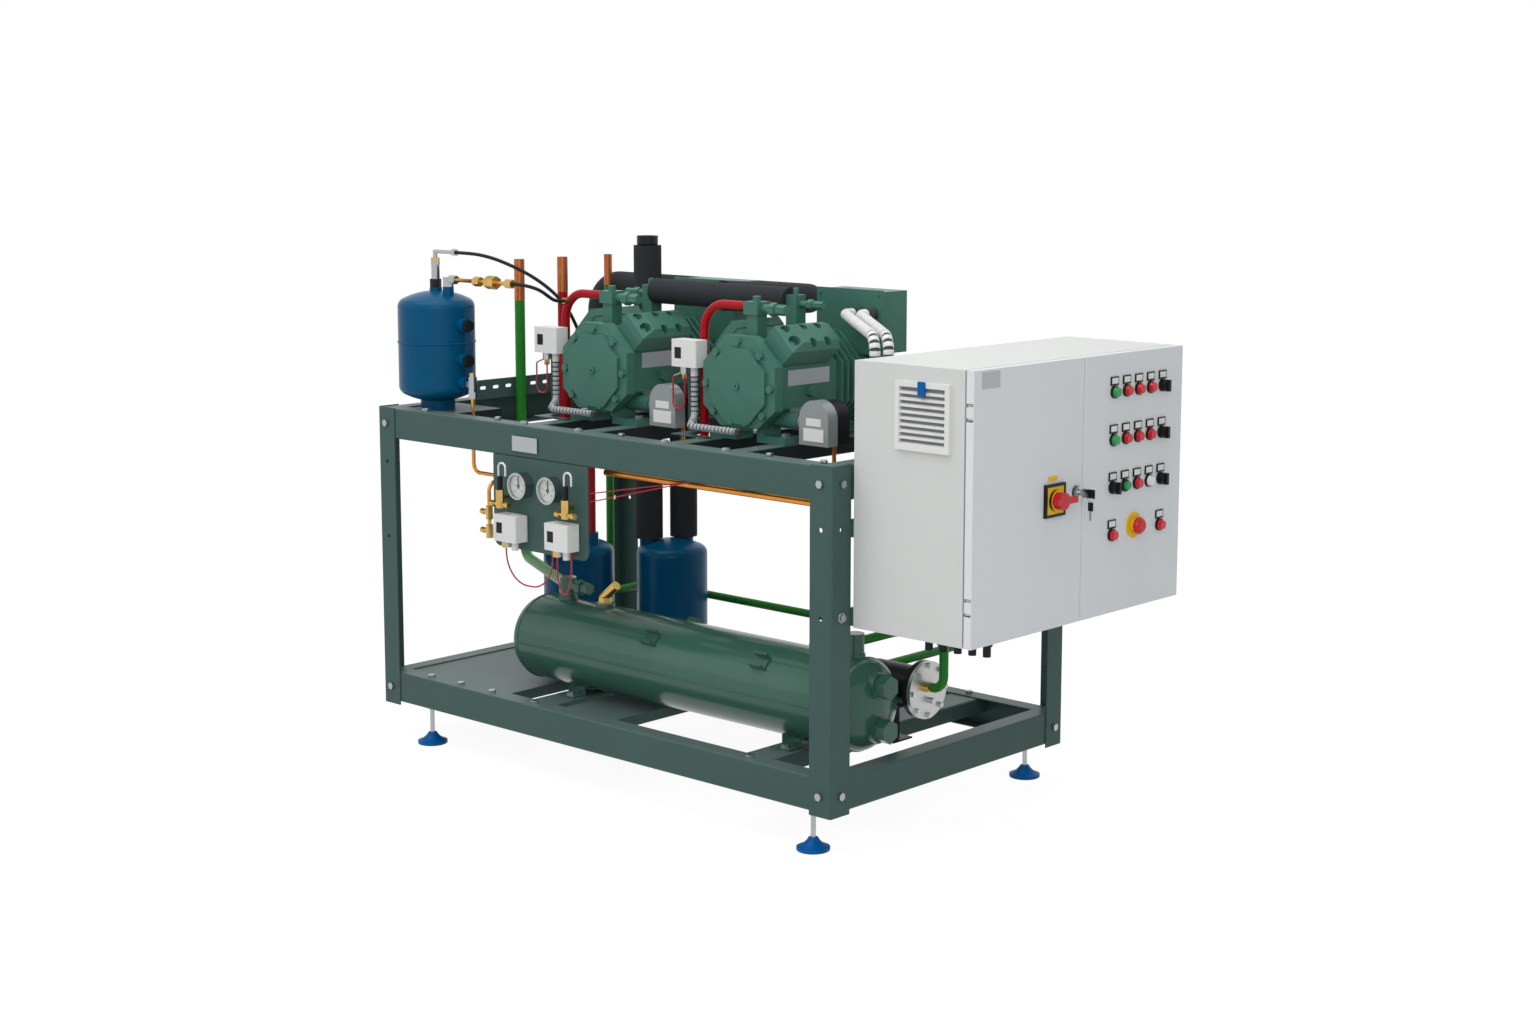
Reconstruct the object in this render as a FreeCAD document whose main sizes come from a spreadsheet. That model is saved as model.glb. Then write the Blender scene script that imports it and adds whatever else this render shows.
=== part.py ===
import FreeCAD, Part
import math
import os
import Sketcher

# Refrigeration compressor rack: two four-cylinder compressors on a bolted channel frame, with
# receiver, oil system, suction accumulator, gauge panel and control cabinet.
# Millimetres, +Z up, +X along the long front towards the cabinet, +Y to the back.
# Origin: centre of the front left levelling pad, on the floor. Places in this file are
# measured from the rack corner: outer bottom corner of the front left post.

CELLS = [
    # Frame
    ("rack_length", 1600), ("rack_depth", 880), ("post_height", 800), ("post_flange", 65),
    ("post_sheet", 3), ("rail_height", 80), ("rail_flange", 50), ("rail_sheet", 3),
    ("bottom_rail_lift", 8), ("top_rail_drop", 2), ("cope_clearance", 1),
    ("post_bolt_line", 33), ("post_hole", 11), ("post_hole_low", 455), ("post_hole_pitch", 200),
    ("bolt_size", 10), ("bolt_head", 17), ("bolt_head_depth", 7), ("nut_depth", 8),
    ("bearer_width", 50), ("bearer_depth", 40), ("bearer_sheet", 3),
    ("receiver_bearer_left", 575), ("receiver_bearer_right", 1326), ("receiver_bearer_width", 90),
    ("base_sheet_edge", 446), ("base_sheet_gauge", 3), ("second_sheet_start", 655),
    ("second_sheet_edge", 842),
    # Levelling feet
    ("foot_height", 95), ("foot_left_inset", 152), ("foot_right_inset", 85),
    ("foot_side_inset", 38), ("pad_diameter", 78), ("pad_rim", 8), ("pad_dome", 30),
    ("stem_diameter", 12), ("stem_above_rail", 28), ("stem_nut", 19), ("stem_nut_depth", 10),
    # Receiver
    ("receiver_left", 358), ("receiver_length", 1200), ("receiver_diameter", 219),
    ("receiver_wall", 5), ("receiver_y", 220), ("receiver_gap", 14), ("head_crown", 180),
    ("head_knuckle", 36), ("saddle_width", 60), ("saddle_sheet", 4), ("saddle_half_span", 50),
    ("saddle_foot", 40), ("hook_width", 42), ("plug_across", 50), ("plug_length", 30),
    ("plug_offset", 52), ("valve_x", 492), ("valve_width", 44), ("valve_height", 52),
    ("relief_x", 634), ("outlet_x", 1480),
    # Standing vessels
    ("reservoir_x", 124), ("reservoir_y", 100), ("reservoir_diameter", 200),
    ("reservoir_height", 292), ("vessel_wall", 4), ("vessel_crown", 190), ("vessel_knuckle", 24),
    ("ring_diameter", 90), ("ring_height", 20), ("ring_wall", 4), ("shelf_length", 234),
    ("shelf_depth", 209), ("boss_diameter", 36), ("boss_length", 24), ("boss_low", 135),
    ("boss_high", 226), ("outlet_boss", 75), ("top_nozzle_offset", 51),
    ("separator_x", 226), ("separator_y", 500), ("separator_diameter", 194),
    ("separator_height", 305), ("separator_port_offset", 54),
    ("accumulator_x", 400), ("accumulator_y", 690), ("accumulator_diameter", 196),
    ("accumulator_height", 298), ("low_ring_diameter", 84), ("low_ring_height", 20),
    # Compressors
    ("compressor_x", 650), ("compressor_pitch", 500), ("compressor_front", 175),
    ("bearer_pitch", 200), ("crank_height", 134), ("flange_half_width", 117),
    ("flange_above", 119), ("flange_below", 98), ("flange_top_half", 44),
    ("flange_side_up", 51), ("flange_side_down", 52), ("flange_bottom_half", 61),
    ("cover_plate", 14), ("cover_across", 180), ("cover_raise", 8), ("boss_across", 18),
    ("case_inset", 8), ("case_length", 200), ("barrel_diameter", 216), ("barrel_length", 220),
    ("fin_count", 8), ("fin_pitch", 22), ("fin_rise", 10), ("fin_thickness", 7),
    ("rear_cover", 22), ("bank_angle", 45), ("bank_width", 80), ("bank_length", 163),
    ("bank_start", 48), ("bank_reach", 140), ("head_height", 37), ("head_overhang", 2),
    ("head_top_width", 50), ("head_bolt_recess", 22), ("head_bolt_pitch", 50),
    ("foot_length", 60), ("foot_width", 46), ("foot_thickness", 17), ("foot_front", 57),
    ("foot_pitch", 300), ("case_cavity", 128), ("bearing_wall", 18), ("shaft_diameter", 34),
    ("running_clearance", 0.3), ("web_diameter", 84), ("web_thickness", 16),
    ("rotor_diameter", 84), ("rotor_length", 110), ("stator_wall", 16),
    ("discharge_y", 63), ("discharge_height", 186), ("suction_y", 200), ("suction_height", 191),
    ("terminal_width", 205), ("terminal_depth", 96), ("terminal_height", 150),
    ("terminal_offset", 36), ("terminal_y", 325), ("terminal_low", 198),
    ("regulator_x", 168), ("regulator_y", 28), ("regulator_width", 90),
    ("regulator_height", 106), ("regulator_lift", 8), ("regulator_body_depth", 46),
    ("window_depth", 34),
    # Pipes
    ("suction_outside", 76), ("suction_bore", 54), ("header_outside", 64), ("header_bore", 42),
    ("liquid_outside", 28), ("discharge_outside", 28), ("branch_outside", 22),
    ("pipe_wall", 1.5), ("pipe_bend", 75), ("branch_bend", 68), ("branch_drop", 175),
    ("stub_top", 1181), ("liquid_stub_top", 1173), ("riser_top", 1214),
    ("bare_end", 22), ("swage_taper", 4), ("suction_pipe_wall", 2), ("riser_x", 346),
    ("riser_y", 655), ("outlet_riser_x", 394), ("rear_run_y", 742), ("rear_run_height", 1092),
    ("rear_run_left", 66), ("rear_run_right", 905), ("swan_height", 872),
    ("header_height", 325), ("discharge_main_height", 732),
    ("liquid_inlet_x", 72), ("liquid_inlet_y", 432), ("liquid_inlet_height", 352),
    ("liquid_riser_x", 161), ("liquid_riser_y", 680), ("liquid_run_y", 832),
    ("liquid_run_height", 150), ("bracket_start", 285), ("bracket_length", 300),
    ("bracket_height", 50), ("slot_pitch", 45), ("slot_length", 22), ("slot_width", 9),
    ("oil_tube", 10), ("capillary", 4), ("hose_diameter", 9), ("conduit_diameter", 22),
    # Filter drier
    ("drier_y", 386), ("drier_z", 222), ("drier_right", 1566), ("drier_length", 180),
    ("drier_diameter", 102), ("drier_flange", 138), ("drier_flange_depth", 14),
    ("drier_cover_depth", 10), ("drier_bolt_circle", 120), ("drier_bolt_count", 8),
    # Gauge panel
    ("panel_left", 459), ("panel_width", 350), ("panel_drop", 233), ("panel_sheet", 3),
    ("panel_return", 37), ("gauge_left", 121), ("gauge_pitch", 109), ("gauge_drop", 68),
    ("gauge_diameter", 68), ("gauge_depth", 30), ("gauge_rim", 4), ("switch_width", 84),
    ("switch_depth", 44), ("switch_height", 66), ("switch_left", 46), ("switch_pitch", 190),
    ("switch_drop", 144), ("needle_length", 24),
    # Cabinet
    ("cabinet_width", 800), ("cabinet_height", 600), ("cabinet_depth", 308),
    ("cabinet_side", 65), ("cabinet_low", 431), ("cabinet_sheet", 2), ("door_gap", 4),
    ("door_depth", 20), ("door_seam", 2), ("door_sheet", 2), ("frame_lip", 18),
    ("hinge_inset", 8), ("hinge_back", 10), ("hinge_pin", 6), ("hinge_height", 26),
    ("hinge_from_end", 90), ("knuckle_across", 13), ("arm_thickness", 4), ("hinge_gap", 0.5),
    ("grille_size", 150), ("grille_x", 197), ("grille_z", 491), ("grille_depth", 9),
    ("slat_count", 9), ("slat_depth", 3), ("fan_opening", 124),
    ("device_column", 49), ("device_row", 110), ("device_top", 513), ("device_hole", 22.3),
    ("bezel_diameter", 29), ("bezel_depth", 6), ("lamp_diameter", 25), ("lamp_depth", 9),
    ("plunger_diameter", 22), ("knob_diameter", 25), ("knob_depth", 12), ("knob_bar", 8),
    ("knob_bar_depth", 12), ("legend_width", 30), ("legend_height", 20), ("legend_depth", 3),
    ("button_diameter", 20), ("button_travel", 3), ("estop_plate", 60), ("estop_diameter", 40),
    ("estop_collar", 29), ("estop_travel", 4), ("estop_depth", 14),
    ("switch_plate_size", 74), ("main_switch_y", 291), ("main_switch_z", 291),
    ("handle_diameter", 48), ("handle_depth", 20), ("handle_bar", 12), ("lock_y", 376),
    ("lock_z", 299), ("lock_diameter", 20), ("lock_plate", 30), ("key_length", 34),
    ("mounting_plate_inset", 40), ("mounting_plate_gauge", 3), ("mounting_plate_back", 14),
    ("contactor_width", 45), ("contactor_height", 84), ("contactor_depth", 86),
    ("contactor_count", 6), ("contactor_pitch", 92), ("bar_width", 40),
    ("bend_inside", 2), ("bolt_spare", 4), ("sheet_lip", 24), ("bracket_foot", 30),
    ("foot_neck_wall", 5), ("foot_socket", 10), ("valve_seat_rise", 8), ("valve_boss", 50),
    ("plug_boss", 62), ("plug_boss_length", 40), ("plug_boss_reach", 2), ("hook_depth", 36),
    ("hook_sheet", 4), ("hook_rise", 20), ("valve_reach", 84), ("nozzle_rise", 8),
    ("port_rise", 50), ("port_sink", 30), ("drier_stand_width", 70), ("drier_stand_foot", 44),
    ("drier_drop_reach", 46), ("flange_bolt_inset", 13), ("cover_bolt", 17),
    ("cover_bolt_depth", 9), ("bank_setback", 32), ("head_slope", 42), ("head_bolt", 13),
    ("bank_stagger", 37), ("head_bolt_first", 22), ("head_bolt_rows", 54), ("first_recess", 28),
    ("head_bolt_line", 24), ("first_bolt_line", 12),
    ("case_flange", 14), ("rotor_offset", 40), ("port_pad", 47), ("port_width", 34),
    ("terminal_clearance", 1), ("lid_margin", 4), ("lid_screw", 3), ("leg_width", 22), ("oil_boss", 40), ("oil_boss_length", 30),
    ("oil_boss_y", 40), ("oil_boss_height", 55), ("case_plug_y", 130), ("case_plug_drop", 14),
    ("rotor_gap", 1), ("shaft_float", 1), ("crank_throw", 20), ("web_start", 30),
    ("throw_pitch", 84), ("web_pitch", 50), ("stator_overhang", 14),
    ("discharge_valve_height", 31), ("discharge_valve_width", 46),
    ("suction_valve_height", 40), ("suction_valve_width", 34), ("valve_spindle", 88),
    ("lid_depth", 4), ("cabinet_standoff", 8), ("bracket_bolt_inset", 90),
    ("grille_rim", 12), ("slat_slope", 5), ("device_inset", 117), ("button_proud", 8),
    ("estop_shift", 8), ("estop_rise", 12), ("switch_plate_depth", 6), ("lock_depth", 12),
    ("handle_length", 76), ("panel_corner", 22), ("gauge_stem", 14),
    ("gauge_stem_length", 22), ("gauge_well", 9), ("needle_gap", 1), ("needle_hub", 9),
    ("needle_thickness", 1.2), ("switch_corner", 5), ("window_recess", 2),
    ("bellows_diameter", 22), ("bellows_length", 18), ("gland_diameter", 18),
    ("gland_length", 22), ("head_switch_x", 228), ("head_switch_low", 165),
    ("strip_width", 30), ("strip_foot", 30), ("panel_valve_reach", 25),
    ("panel_valve_drop", 130), ("small_bend", 32), ("suction_bend", 78),
    ("hose_start_x", 211), ("hose_start_z", 1209), ("oil_cross_z", 1138),
    ("oil_cross_length", 256), ("oil_drop_x", 266), ("oil_low_z", 640), ("oil_panel_x", 428),
    ("oil_panel_y", 14), ("oil_end", 60), ("panel_valve_size", 16),
    ("hose_end_x", 527), ("hose_end_y", 345), ("hose_end_z", 905), ("tap_start_y", 213), ("manifold_y", 60), ("manifold_z", 700), ("manifold_left", 812),
    ("manifold_tube", 16), ("conduit_height", 1090), ("conduit_low", 960),
    ("conduit_turn_x", 1548), ("conduit_turn_y", 252), ("lead_diameter", 15), ("lead_rise", 26),
    ("panel_valve_left", 512), ("panel_valve_right", 755),
    ("strap_thickness", 5),
]

doc = FreeCAD.newDocument("compressor_rack")
sheet = doc.addObject("Spreadsheet::Sheet", "sizes")
for row, (alias, number) in enumerate(CELLS, start=1):
    sheet.set(f"A{row}", alias.replace("_", " "))
    sheet.set(f"B{row}", str(number))
    sheet.setAlias(f"B{row}", alias)
doc.recompute()


class Size:
    """A length kept as the formula on the sheet's cells that drives it, and as its value."""

    def __init__(self, text, value):
        self.text = text
        self.value = float(value)

    def __add__(self, other):
        return join(self, "+", other)

    def __radd__(self, other):
        return join(other, "+", self)

    def __sub__(self, other):
        return join(self, "-", other)

    def __rsub__(self, other):
        return join(other, "-", self)

    def __mul__(self, other):
        return join(self, "*", other)

    def __rmul__(self, other):
        return join(other, "*", self)

    def __truediv__(self, other):
        return join(self, "/", other)

    def __neg__(self):
        return join(0, "-", self)


def as_size(value):
    return value if isinstance(value, Size) else Size(repr(float(value)), value)


def join(left, sign, right):
    left, right = as_size(left), as_size(right)
    results = {"+": left.value + right.value, "-": left.value - right.value,
               "*": left.value * right.value}
    value = left.value / right.value if sign == "/" else results[sign]
    return Size(f"({left.text} {sign} {right.text})", value)


def root(size):
    return Size(f"sqrt({size.text})", math.sqrt(size.value))


def sine(angle):
    angle = as_size(angle)
    return Size(f"sin({angle.text} * 1deg)", math.sin(math.radians(angle.value)))


def cosine(angle):
    angle = as_size(angle)
    return Size(f"cos({angle.text} * 1deg)", math.cos(math.radians(angle.value)))


class Cells:
    """Every cell of the sheet as a Size, read as s.alias."""

    def __init__(self):
        for alias, number in CELLS:
            setattr(self, alias, Size(f"sizes.{alias}", number))


s = Cells()
NODES = {}
ALONG = {
    "z": FreeCAD.Rotation(),
    "-z": FreeCAD.Rotation(FreeCAD.Vector(1, 0, 0), 180),
    "x": FreeCAD.Rotation(FreeCAD.Vector(0, 1, 0), 90),
    "-x": FreeCAD.Rotation(FreeCAD.Vector(0, 1, 0), -90),
    "y": FreeCAD.Rotation(FreeCAD.Vector(1, 0, 0), -90),
    "-y": FreeCAD.Rotation(FreeCAD.Vector(1, 0, 0), 90),
}


def bind(thing, prop, size):
    """Ties one property to its formula, or sets it where no cell is in it."""
    size = as_size(size)
    if "sizes." in size.text:
        thing.setExpression(prop, size.text)
    else:
        setattr(thing, prop, size.value)


def place(thing, x, y, z, turn=None):
    """Stands an object at a place measured from the rack corner."""
    spots = [as_size(x) - s.foot_left_inset, as_size(y) - s.foot_side_inset,
             as_size(z) + s.foot_height]
    base = FreeCAD.Vector(*[spot.value for spot in spots])
    thing.Placement = FreeCAD.Placement(base, turn or FreeCAD.Rotation())
    for letter, spot in zip("xyz", spots):
        thing.setExpression(f"Placement.Base.{letter}", spot.text)
    return thing


def node(thing, name):
    """Registers an object as the sub-part of that name."""
    thing.Label = name
    NODES[name] = thing
    return thing


def block(name, length, width, height, x, y, z, turn=None):
    thing = doc.addObject("Part::Box", name)
    bind(thing, "Length", length)
    bind(thing, "Width", width)
    bind(thing, "Height", height)
    return place(thing, x, y, z, turn)


def rod(name, diameter, length, x, y, z, along="z"):
    thing = doc.addObject("Part::Cylinder", name)
    bind(thing, "Radius", as_size(diameter) / 2)
    bind(thing, "Height", length)
    return place(thing, x, y, z, ALONG[along])


def cone(name, start_diameter, end_diameter, length, x, y, z, along="z"):
    thing = doc.addObject("Part::Cone", name)
    bind(thing, "Radius1", as_size(start_diameter) / 2)
    bind(thing, "Radius2", as_size(end_diameter) / 2)
    bind(thing, "Height", length)
    return place(thing, x, y, z, ALONG[along])


def hexagon(name, across, length, x, y, z, along="z"):
    """A hexagonal bar, nut or bolt head of that size across its flats."""
    thing = doc.addObject("Part::Prism", name)
    thing.Polygon = 6
    bind(thing, "Circumradius", as_size(across) / math.sqrt(3))
    bind(thing, "Height", length)
    return place(thing, x, y, z, ALONG[along])


def fuse(name, parts):
    thing = doc.addObject("Part::MultiFuse", name)
    thing.Shapes = parts
    thing.Refine = True
    return thing


def cut(name, base, tools):
    tool = tools[0] if len(tools) == 1 else fuse(name + "_tools", tools)
    thing = doc.addObject("Part::Cut", name)
    thing.Base = base
    thing.Tool = tool
    return thing


def group(name, parts):
    thing = doc.addObject("Part::Compound", name)
    thing.Links = parts
    return thing


def body(name, x, y, z, turn=None):
    return place(doc.addObject("PartDesign::Body", name), x, y, z, turn)


def sketch(part, role, name, offset=None):
    """An empty sketch on one of the body's own origin planes, moved along its normal."""
    drawing = part.newObject("Sketcher::SketchObject", name)
    plane = next(item for item in part.Origin.OriginFeatures if item.Role == role)
    drawing.AttachmentSupport = [(plane, "")]
    drawing.MapMode = "FlatFace"
    if offset is not None:
        bind_offset(drawing, as_size(offset))
    return drawing


def bind_offset(drawing, offset):
    drawing.AttachmentOffset = FreeCAD.Placement(FreeCAD.Vector(0, 0, offset.value),
                                                 FreeCAD.Rotation())
    drawing.setExpression("AttachmentOffset.Base.z", offset.text)


def pin_point(drawing, edge, end, x, y):
    """Holds one end of an edge at its two distances from the sketch's origin."""
    for kind, distance in (("DistanceX", as_size(x)), ("DistanceY", as_size(y))):
        number = drawing.addConstraint(
            Sketcher.Constraint(kind, -1, 1, edge, end, distance.value))
        if "sizes." in distance.text:
            drawing.setExpression(f"Constraints[{number}]", distance.text)


def loop(drawing, corners):
    """A closed outline. A corner is (x, y), or (x, y, radius) where an arc arrives at it;
    a positive radius turns left on the way there and a negative one turns right."""
    corners = [tuple(as_size(value) for value in corner) for corner in corners]
    first = drawing.GeometryCount
    arcs = {}
    for index, corner in enumerate(corners):
        start = corners[index - 1]
        ends = (FreeCAD.Vector(start[0].value, start[1].value, 0),
                FreeCAD.Vector(corner[0].value, corner[1].value, 0))
        if len(corner) == 2:
            drawing.addGeometry(Part.LineSegment(*ends))
        else:
            drawing.addGeometry(arc_between(*ends, corner[2].value))
            arcs[index] = corner[2]
    count = len(corners)

    def side(index, which):
        """The constraint's number for the start (0) or the end (1) of an edge."""
        left_turn = index not in arcs or arcs[index].value > 0
        return 1 + which if left_turn else 2 - which

    for index in range(count):
        after = (index + 1) % count
        drawing.addConstraint(Sketcher.Constraint(
            "Coincident", first + index, side(index, 1), first + after, side(after, 0)))
    for index, corner in enumerate(corners):
        pin_point(drawing, first + index, side(index, 1), corner[0], corner[1])
    for index, radius in arcs.items():
        size = radius if radius.value > 0 else -radius
        number = drawing.addConstraint(Sketcher.Constraint("Radius", first + index, size.value))
        if "sizes." in size.text:
            drawing.setExpression(f"Constraints[{number}]", size.text)


def arc_between(start, end, radius):
    """The short arc from start to end, counter-clockwise where the radius is positive."""
    chord = end - start
    middle = (start + end) / 2
    normal = FreeCAD.Vector(-chord.y, chord.x, 0).normalize()
    rise = math.sqrt(max(radius ** 2 - (chord.Length / 2) ** 2, 0))
    centre = middle + normal * (rise if radius > 0 else -rise)
    circle = Part.Circle(centre, FreeCAD.Vector(0, 0, 1), abs(radius))
    first, last = (start, end) if radius > 0 else (end, start)
    angles = [math.atan2(point.y - centre.y, point.x - centre.x) for point in (first, last)]
    return Part.ArcOfCircle(circle, angles[0], angles[1])


def ring(drawing, x, y, diameter):
    """A circle held at its centre and diameter."""
    x, y, diameter = as_size(x), as_size(y), as_size(diameter)
    centre = FreeCAD.Vector(x.value, y.value, 0)
    edge = drawing.addGeometry(Part.Circle(centre, FreeCAD.Vector(0, 0, 1), diameter.value / 2))
    pin_point(drawing, edge, 3, x, y)
    number = drawing.addConstraint(Sketcher.Constraint("Diameter", edge, diameter.value))
    if "sizes." in diameter.text:
        drawing.setExpression(f"Constraints[{number}]", diameter.text)


def rectangle(drawing, left, low, right, high):
    loop(drawing, [(left, low), (right, low), (right, high), (left, high)])


def pad(part, drawing, length, back=False):
    feature = part.newObject("PartDesign::Pad", drawing.Name + "_pad")
    feature.Profile = drawing
    bind(feature, "Length", length)
    feature.Reversed = back
    drawing.Visibility = False
    return feature


def pocket(part, drawing, length=None, back=False):
    """A cut of that depth, or right through where no depth is given."""
    feature = part.newObject("PartDesign::Pocket", drawing.Name + "_pocket")
    feature.Profile = drawing
    if length is None:
        feature.Type = "ThroughAll"
    else:
        bind(feature, "Length", length)
    feature.Reversed = back
    return feature


def revolve(part, drawing, axis="V_Axis"):
    feature = part.newObject("PartDesign::Revolution", drawing.Name + "_turned")
    feature.Profile = drawing
    feature.ReferenceAxis = (drawing, [axis])
    feature.Angle = 360
    return feature


def row_of(part, feature, direction, length, count, name):
    """Repeats a feature in a straight row; the body's tip moves on to the pattern."""
    pattern = part.newObject("PartDesign::LinearPattern", name)
    pattern.Originals = [feature]
    axis = next(item for item in part.Origin.OriginFeatures if item.Role == direction)
    pattern.Direction = (axis, [""])
    bind(pattern, "Length", length)
    pattern.Occurrences = int(as_size(count).value)
    if "sizes." in as_size(count).text:
        pattern.setExpression("Occurrences", count.text)
    part.Tip = pattern
    return pattern


def circle_of(part, feature, direction, count, name):
    """Repeats a feature round one of the body's axes."""
    pattern = part.newObject("PartDesign::PolarPattern", name)
    pattern.Originals = [feature]
    axis = next(item for item in part.Origin.OriginFeatures if item.Role == direction)
    pattern.Axis = (axis, [""])
    pattern.Angle = 360
    pattern.Occurrences = int(as_size(count).value)
    if "sizes." in as_size(count).text:
        pattern.setExpression("Occurrences", count.text)
    part.Tip = pattern
    return pattern


def soften(part, radius, chosen, kind="Fillet"):
    """Rounds or bevels the tip's edges that the test picks out."""
    doc.recompute()
    tip = part.Tip
    names = [f"Edge{number}" for number, edge in enumerate(tip.Shape.Edges, start=1)
             if chosen(edge)]
    feature = part.newObject("PartDesign::" + kind, part.Name + "_" + kind.lower())
    feature.Base = (tip, names)
    bind(feature, "Radius" if kind == "Fillet" else "Size", radius)
    return feature


def upright(edge):
    """True for a straight edge that stands along the body's Z."""
    ends = [vertex.Point for vertex in edge.Vertexes]
    return (len(ends) == 2 and abs(ends[0].x - ends[1].x) < 0.01
            and abs(ends[0].y - ends[1].y) < 0.01 and edge.Curve.TypeId == "Part::GeomLine")


def corner_point(x, y, z):
    """A place measured from the rack corner, as a vector in the part's own frame."""
    return FreeCAD.Vector(as_size(x).value - s.foot_left_inset.value,
                          as_size(y).value - s.foot_side_inset.value,
                          as_size(z).value + s.foot_height.value)


def route(points, bend):
    """Straight runs joined by tangent arcs of one radius, or of one radius for each corner."""
    points = [corner_point(*point) for point in points]
    bends = bend if isinstance(bend, list) else [bend] * (len(points) - 2)
    edges = []
    start = points[0]
    for before, corner, after, radius in zip(points, points[1:], points[2:], bends):
        arriving = (corner - before).normalize()
        leaving = (after - corner).normalize()
        turn = arriving.getAngle(leaving)
        cut_back = radius * math.tan(turn / 2)
        arc_start = corner - arriving * cut_back
        arc_end = corner + leaving * cut_back
        inward = (leaving - arriving).normalize()
        middle = corner + inward * (radius / math.cos(turn / 2) - radius)
        if (arc_start - start).Length > 1e-4:
            edges.append(Part.LineSegment(start, arc_start).toShape())
        edges.append(Part.Arc(arc_start, middle, arc_end).toShape())
        start = arc_end
    edges.append(Part.LineSegment(start, points[-1]).toShape())
    return Part.Wire(edges)


def swept(path, diameter):
    """A round bar along a path."""
    first = path.Edges[0]
    start = first.valueAt(first.FirstParameter)
    heading = first.tangentAt(first.FirstParameter)
    circle = Part.Wire(Part.makeCircle(diameter / 2, start, heading))
    bar = path.makePipeShell([circle], True, False)
    expected = math.pi * diameter ** 2 / 4 * path.Length
    if abs(bar.Volume / expected - 1) > 0.02:
        raise RuntimeError(f"a tube has {bar.Volume:.0f} mm3 and not {expected:.0f}")
    return bar


def tube(points, diameter, bend, wall=None):
    """A bent tube; with a wall its bore is open at both ends."""
    diameter = as_size(diameter).value
    bend = bend if isinstance(bend, list) else as_size(bend).value
    path = route(points, bend)
    bar = swept(path, diameter)
    if wall is None:
        return bar
    return bar.cut(swept(path, diameter - 2 * as_size(wall).value))


def limp(points):
    """The radii of a hanging cord's arcs, each as large as its two runs allow."""
    places = [corner_point(*point) for point in points]
    radii = []
    for before, corner, after in zip(places, places[1:], places[2:]):
        shorter = min((corner - before).Length, (after - corner).Length)
        turn = (corner - before).getAngle(after - corner)
        radii.append(0.45 * shorter / math.tan(turn / 2))
    return radii


def shape_part(name, solids):
    """A sub-part made of bent tubes and what is joined to them."""
    thing = doc.addObject("Part::Feature", name)
    thing.Shape = solids[0] if len(solids) == 1 else Part.makeCompound(solids)
    return node(thing, name)


STEP = {"x": (1, 0, 0), "-x": (-1, 0, 0), "y": (0, 1, 0), "-y": (0, -1, 0),
        "z": (0, 0, 1), "-z": (0, 0, -1)}


def moved(spot, along, distance):
    """The place that lies that far from a place, along one of the six directions."""
    return tuple(value if step == 0 else (value + distance if step > 0 else value - distance)
                 for value, step in zip(spot, STEP[along]))


def bolt(name, x, y, z, along, grip):
    """A hexagon bolt with its nut: the head lies on the face at (x, y, z), and the shank runs
    along the direction through the grip."""
    spot = (as_size(x), as_size(y), as_size(z))
    head = hexagon(name + "_head", s.bolt_head, s.bolt_head_depth,
                   *moved(spot, along, -s.bolt_head_depth), along)
    shank = rod(name + "_shank", s.bolt_size, grip + s.nut_depth + s.bolt_spare,
                *moved(spot, along, -s.bolt_head_depth / 2), along)
    nut = hexagon(name + "_nut", s.bolt_head, s.nut_depth, *moved(spot, along, grip), along)
    return fuse(name, [head, shank, nut])


def channel_profile(drawing, high, flange, gauge):
    """A folded channel, web on the left, with its two bends rounded."""
    inside = s.bend_inside
    outside = inside + gauge
    loop(drawing, [
        (outside, 0, outside), (flange, 0), (flange, gauge), (gauge + inside, gauge),
        (gauge, gauge + inside, -inside), (gauge, high - gauge - inside),
        (gauge + inside, high - gauge, -inside), (flange, high - gauge), (flange, high),
        (outside, high), (0, high - outside, outside), (0, outside)])


# Frame: four angle posts, two rings of channel rails, cross-members, sheets and bolts
rack_right = s.rack_length
rack_back = s.rack_depth
low_rail_bottom = s.bottom_rail_lift
low_rail_top = low_rail_bottom + s.rail_height
high_rail_top = s.post_height - s.top_rail_drop
high_rail_bottom = high_rail_top - s.rail_height
low_bolt_height = low_rail_bottom + s.rail_height / 2
high_bolt_height = high_rail_bottom + s.rail_height / 2
floor_sheet_top = low_rail_top - s.rail_sheet
deck_height = high_rail_top - s.rail_sheet
inner_front = s.post_sheet + s.rail_sheet
rail_end = s.post_sheet + s.bend_inside
deck_edge = inner_front + s.bend_inside
deck_bolt_line = s.post_sheet + s.rail_flange / 2
spare_holes = [s.post_hole_low, s.post_hole_low + s.post_hole_pitch]
compressor_centres = [s.compressor_x, s.compressor_x + s.compressor_pitch]
bearer_centres = [centre + side * s.bearer_pitch / 2
                  for centre in compressor_centres for side in (-1, 1)]
receiver_bearers = [s.receiver_bearer_left, s.receiver_bearer_right]


def quarter(turns):
    return FreeCAD.Rotation(FreeCAD.Vector(0, 0, 1), 90 * turns)


def post(name, x, y, turns):
    """An angle post with a bolt hole for each rail and two spare ones on each flange."""
    thing = body(name, x, y, 0, quarter(turns))
    gauge = s.post_sheet
    inside = s.bend_inside
    outline = sketch(thing, "XY_Plane", name + "_angle")
    loop(outline, [
        (gauge + inside, 0, gauge + inside), (s.post_flange, 0), (s.post_flange, gauge),
        (gauge + inside, gauge), (gauge, gauge + inside, -inside), (gauge, s.post_flange),
        (0, s.post_flange), (0, gauge + inside)])
    pad(thing, outline, s.post_height)
    for plane, back in (("XZ_Plane", False), ("YZ_Plane", True)):
        holes = sketch(thing, plane, name + "_holes_" + plane[:2])
        for height in [low_bolt_height, high_bolt_height] + spare_holes:
            ring(holes, s.post_bolt_line, height, s.post_hole)
        pocket(thing, holes, back=back)
    return node(thing, name)


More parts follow.
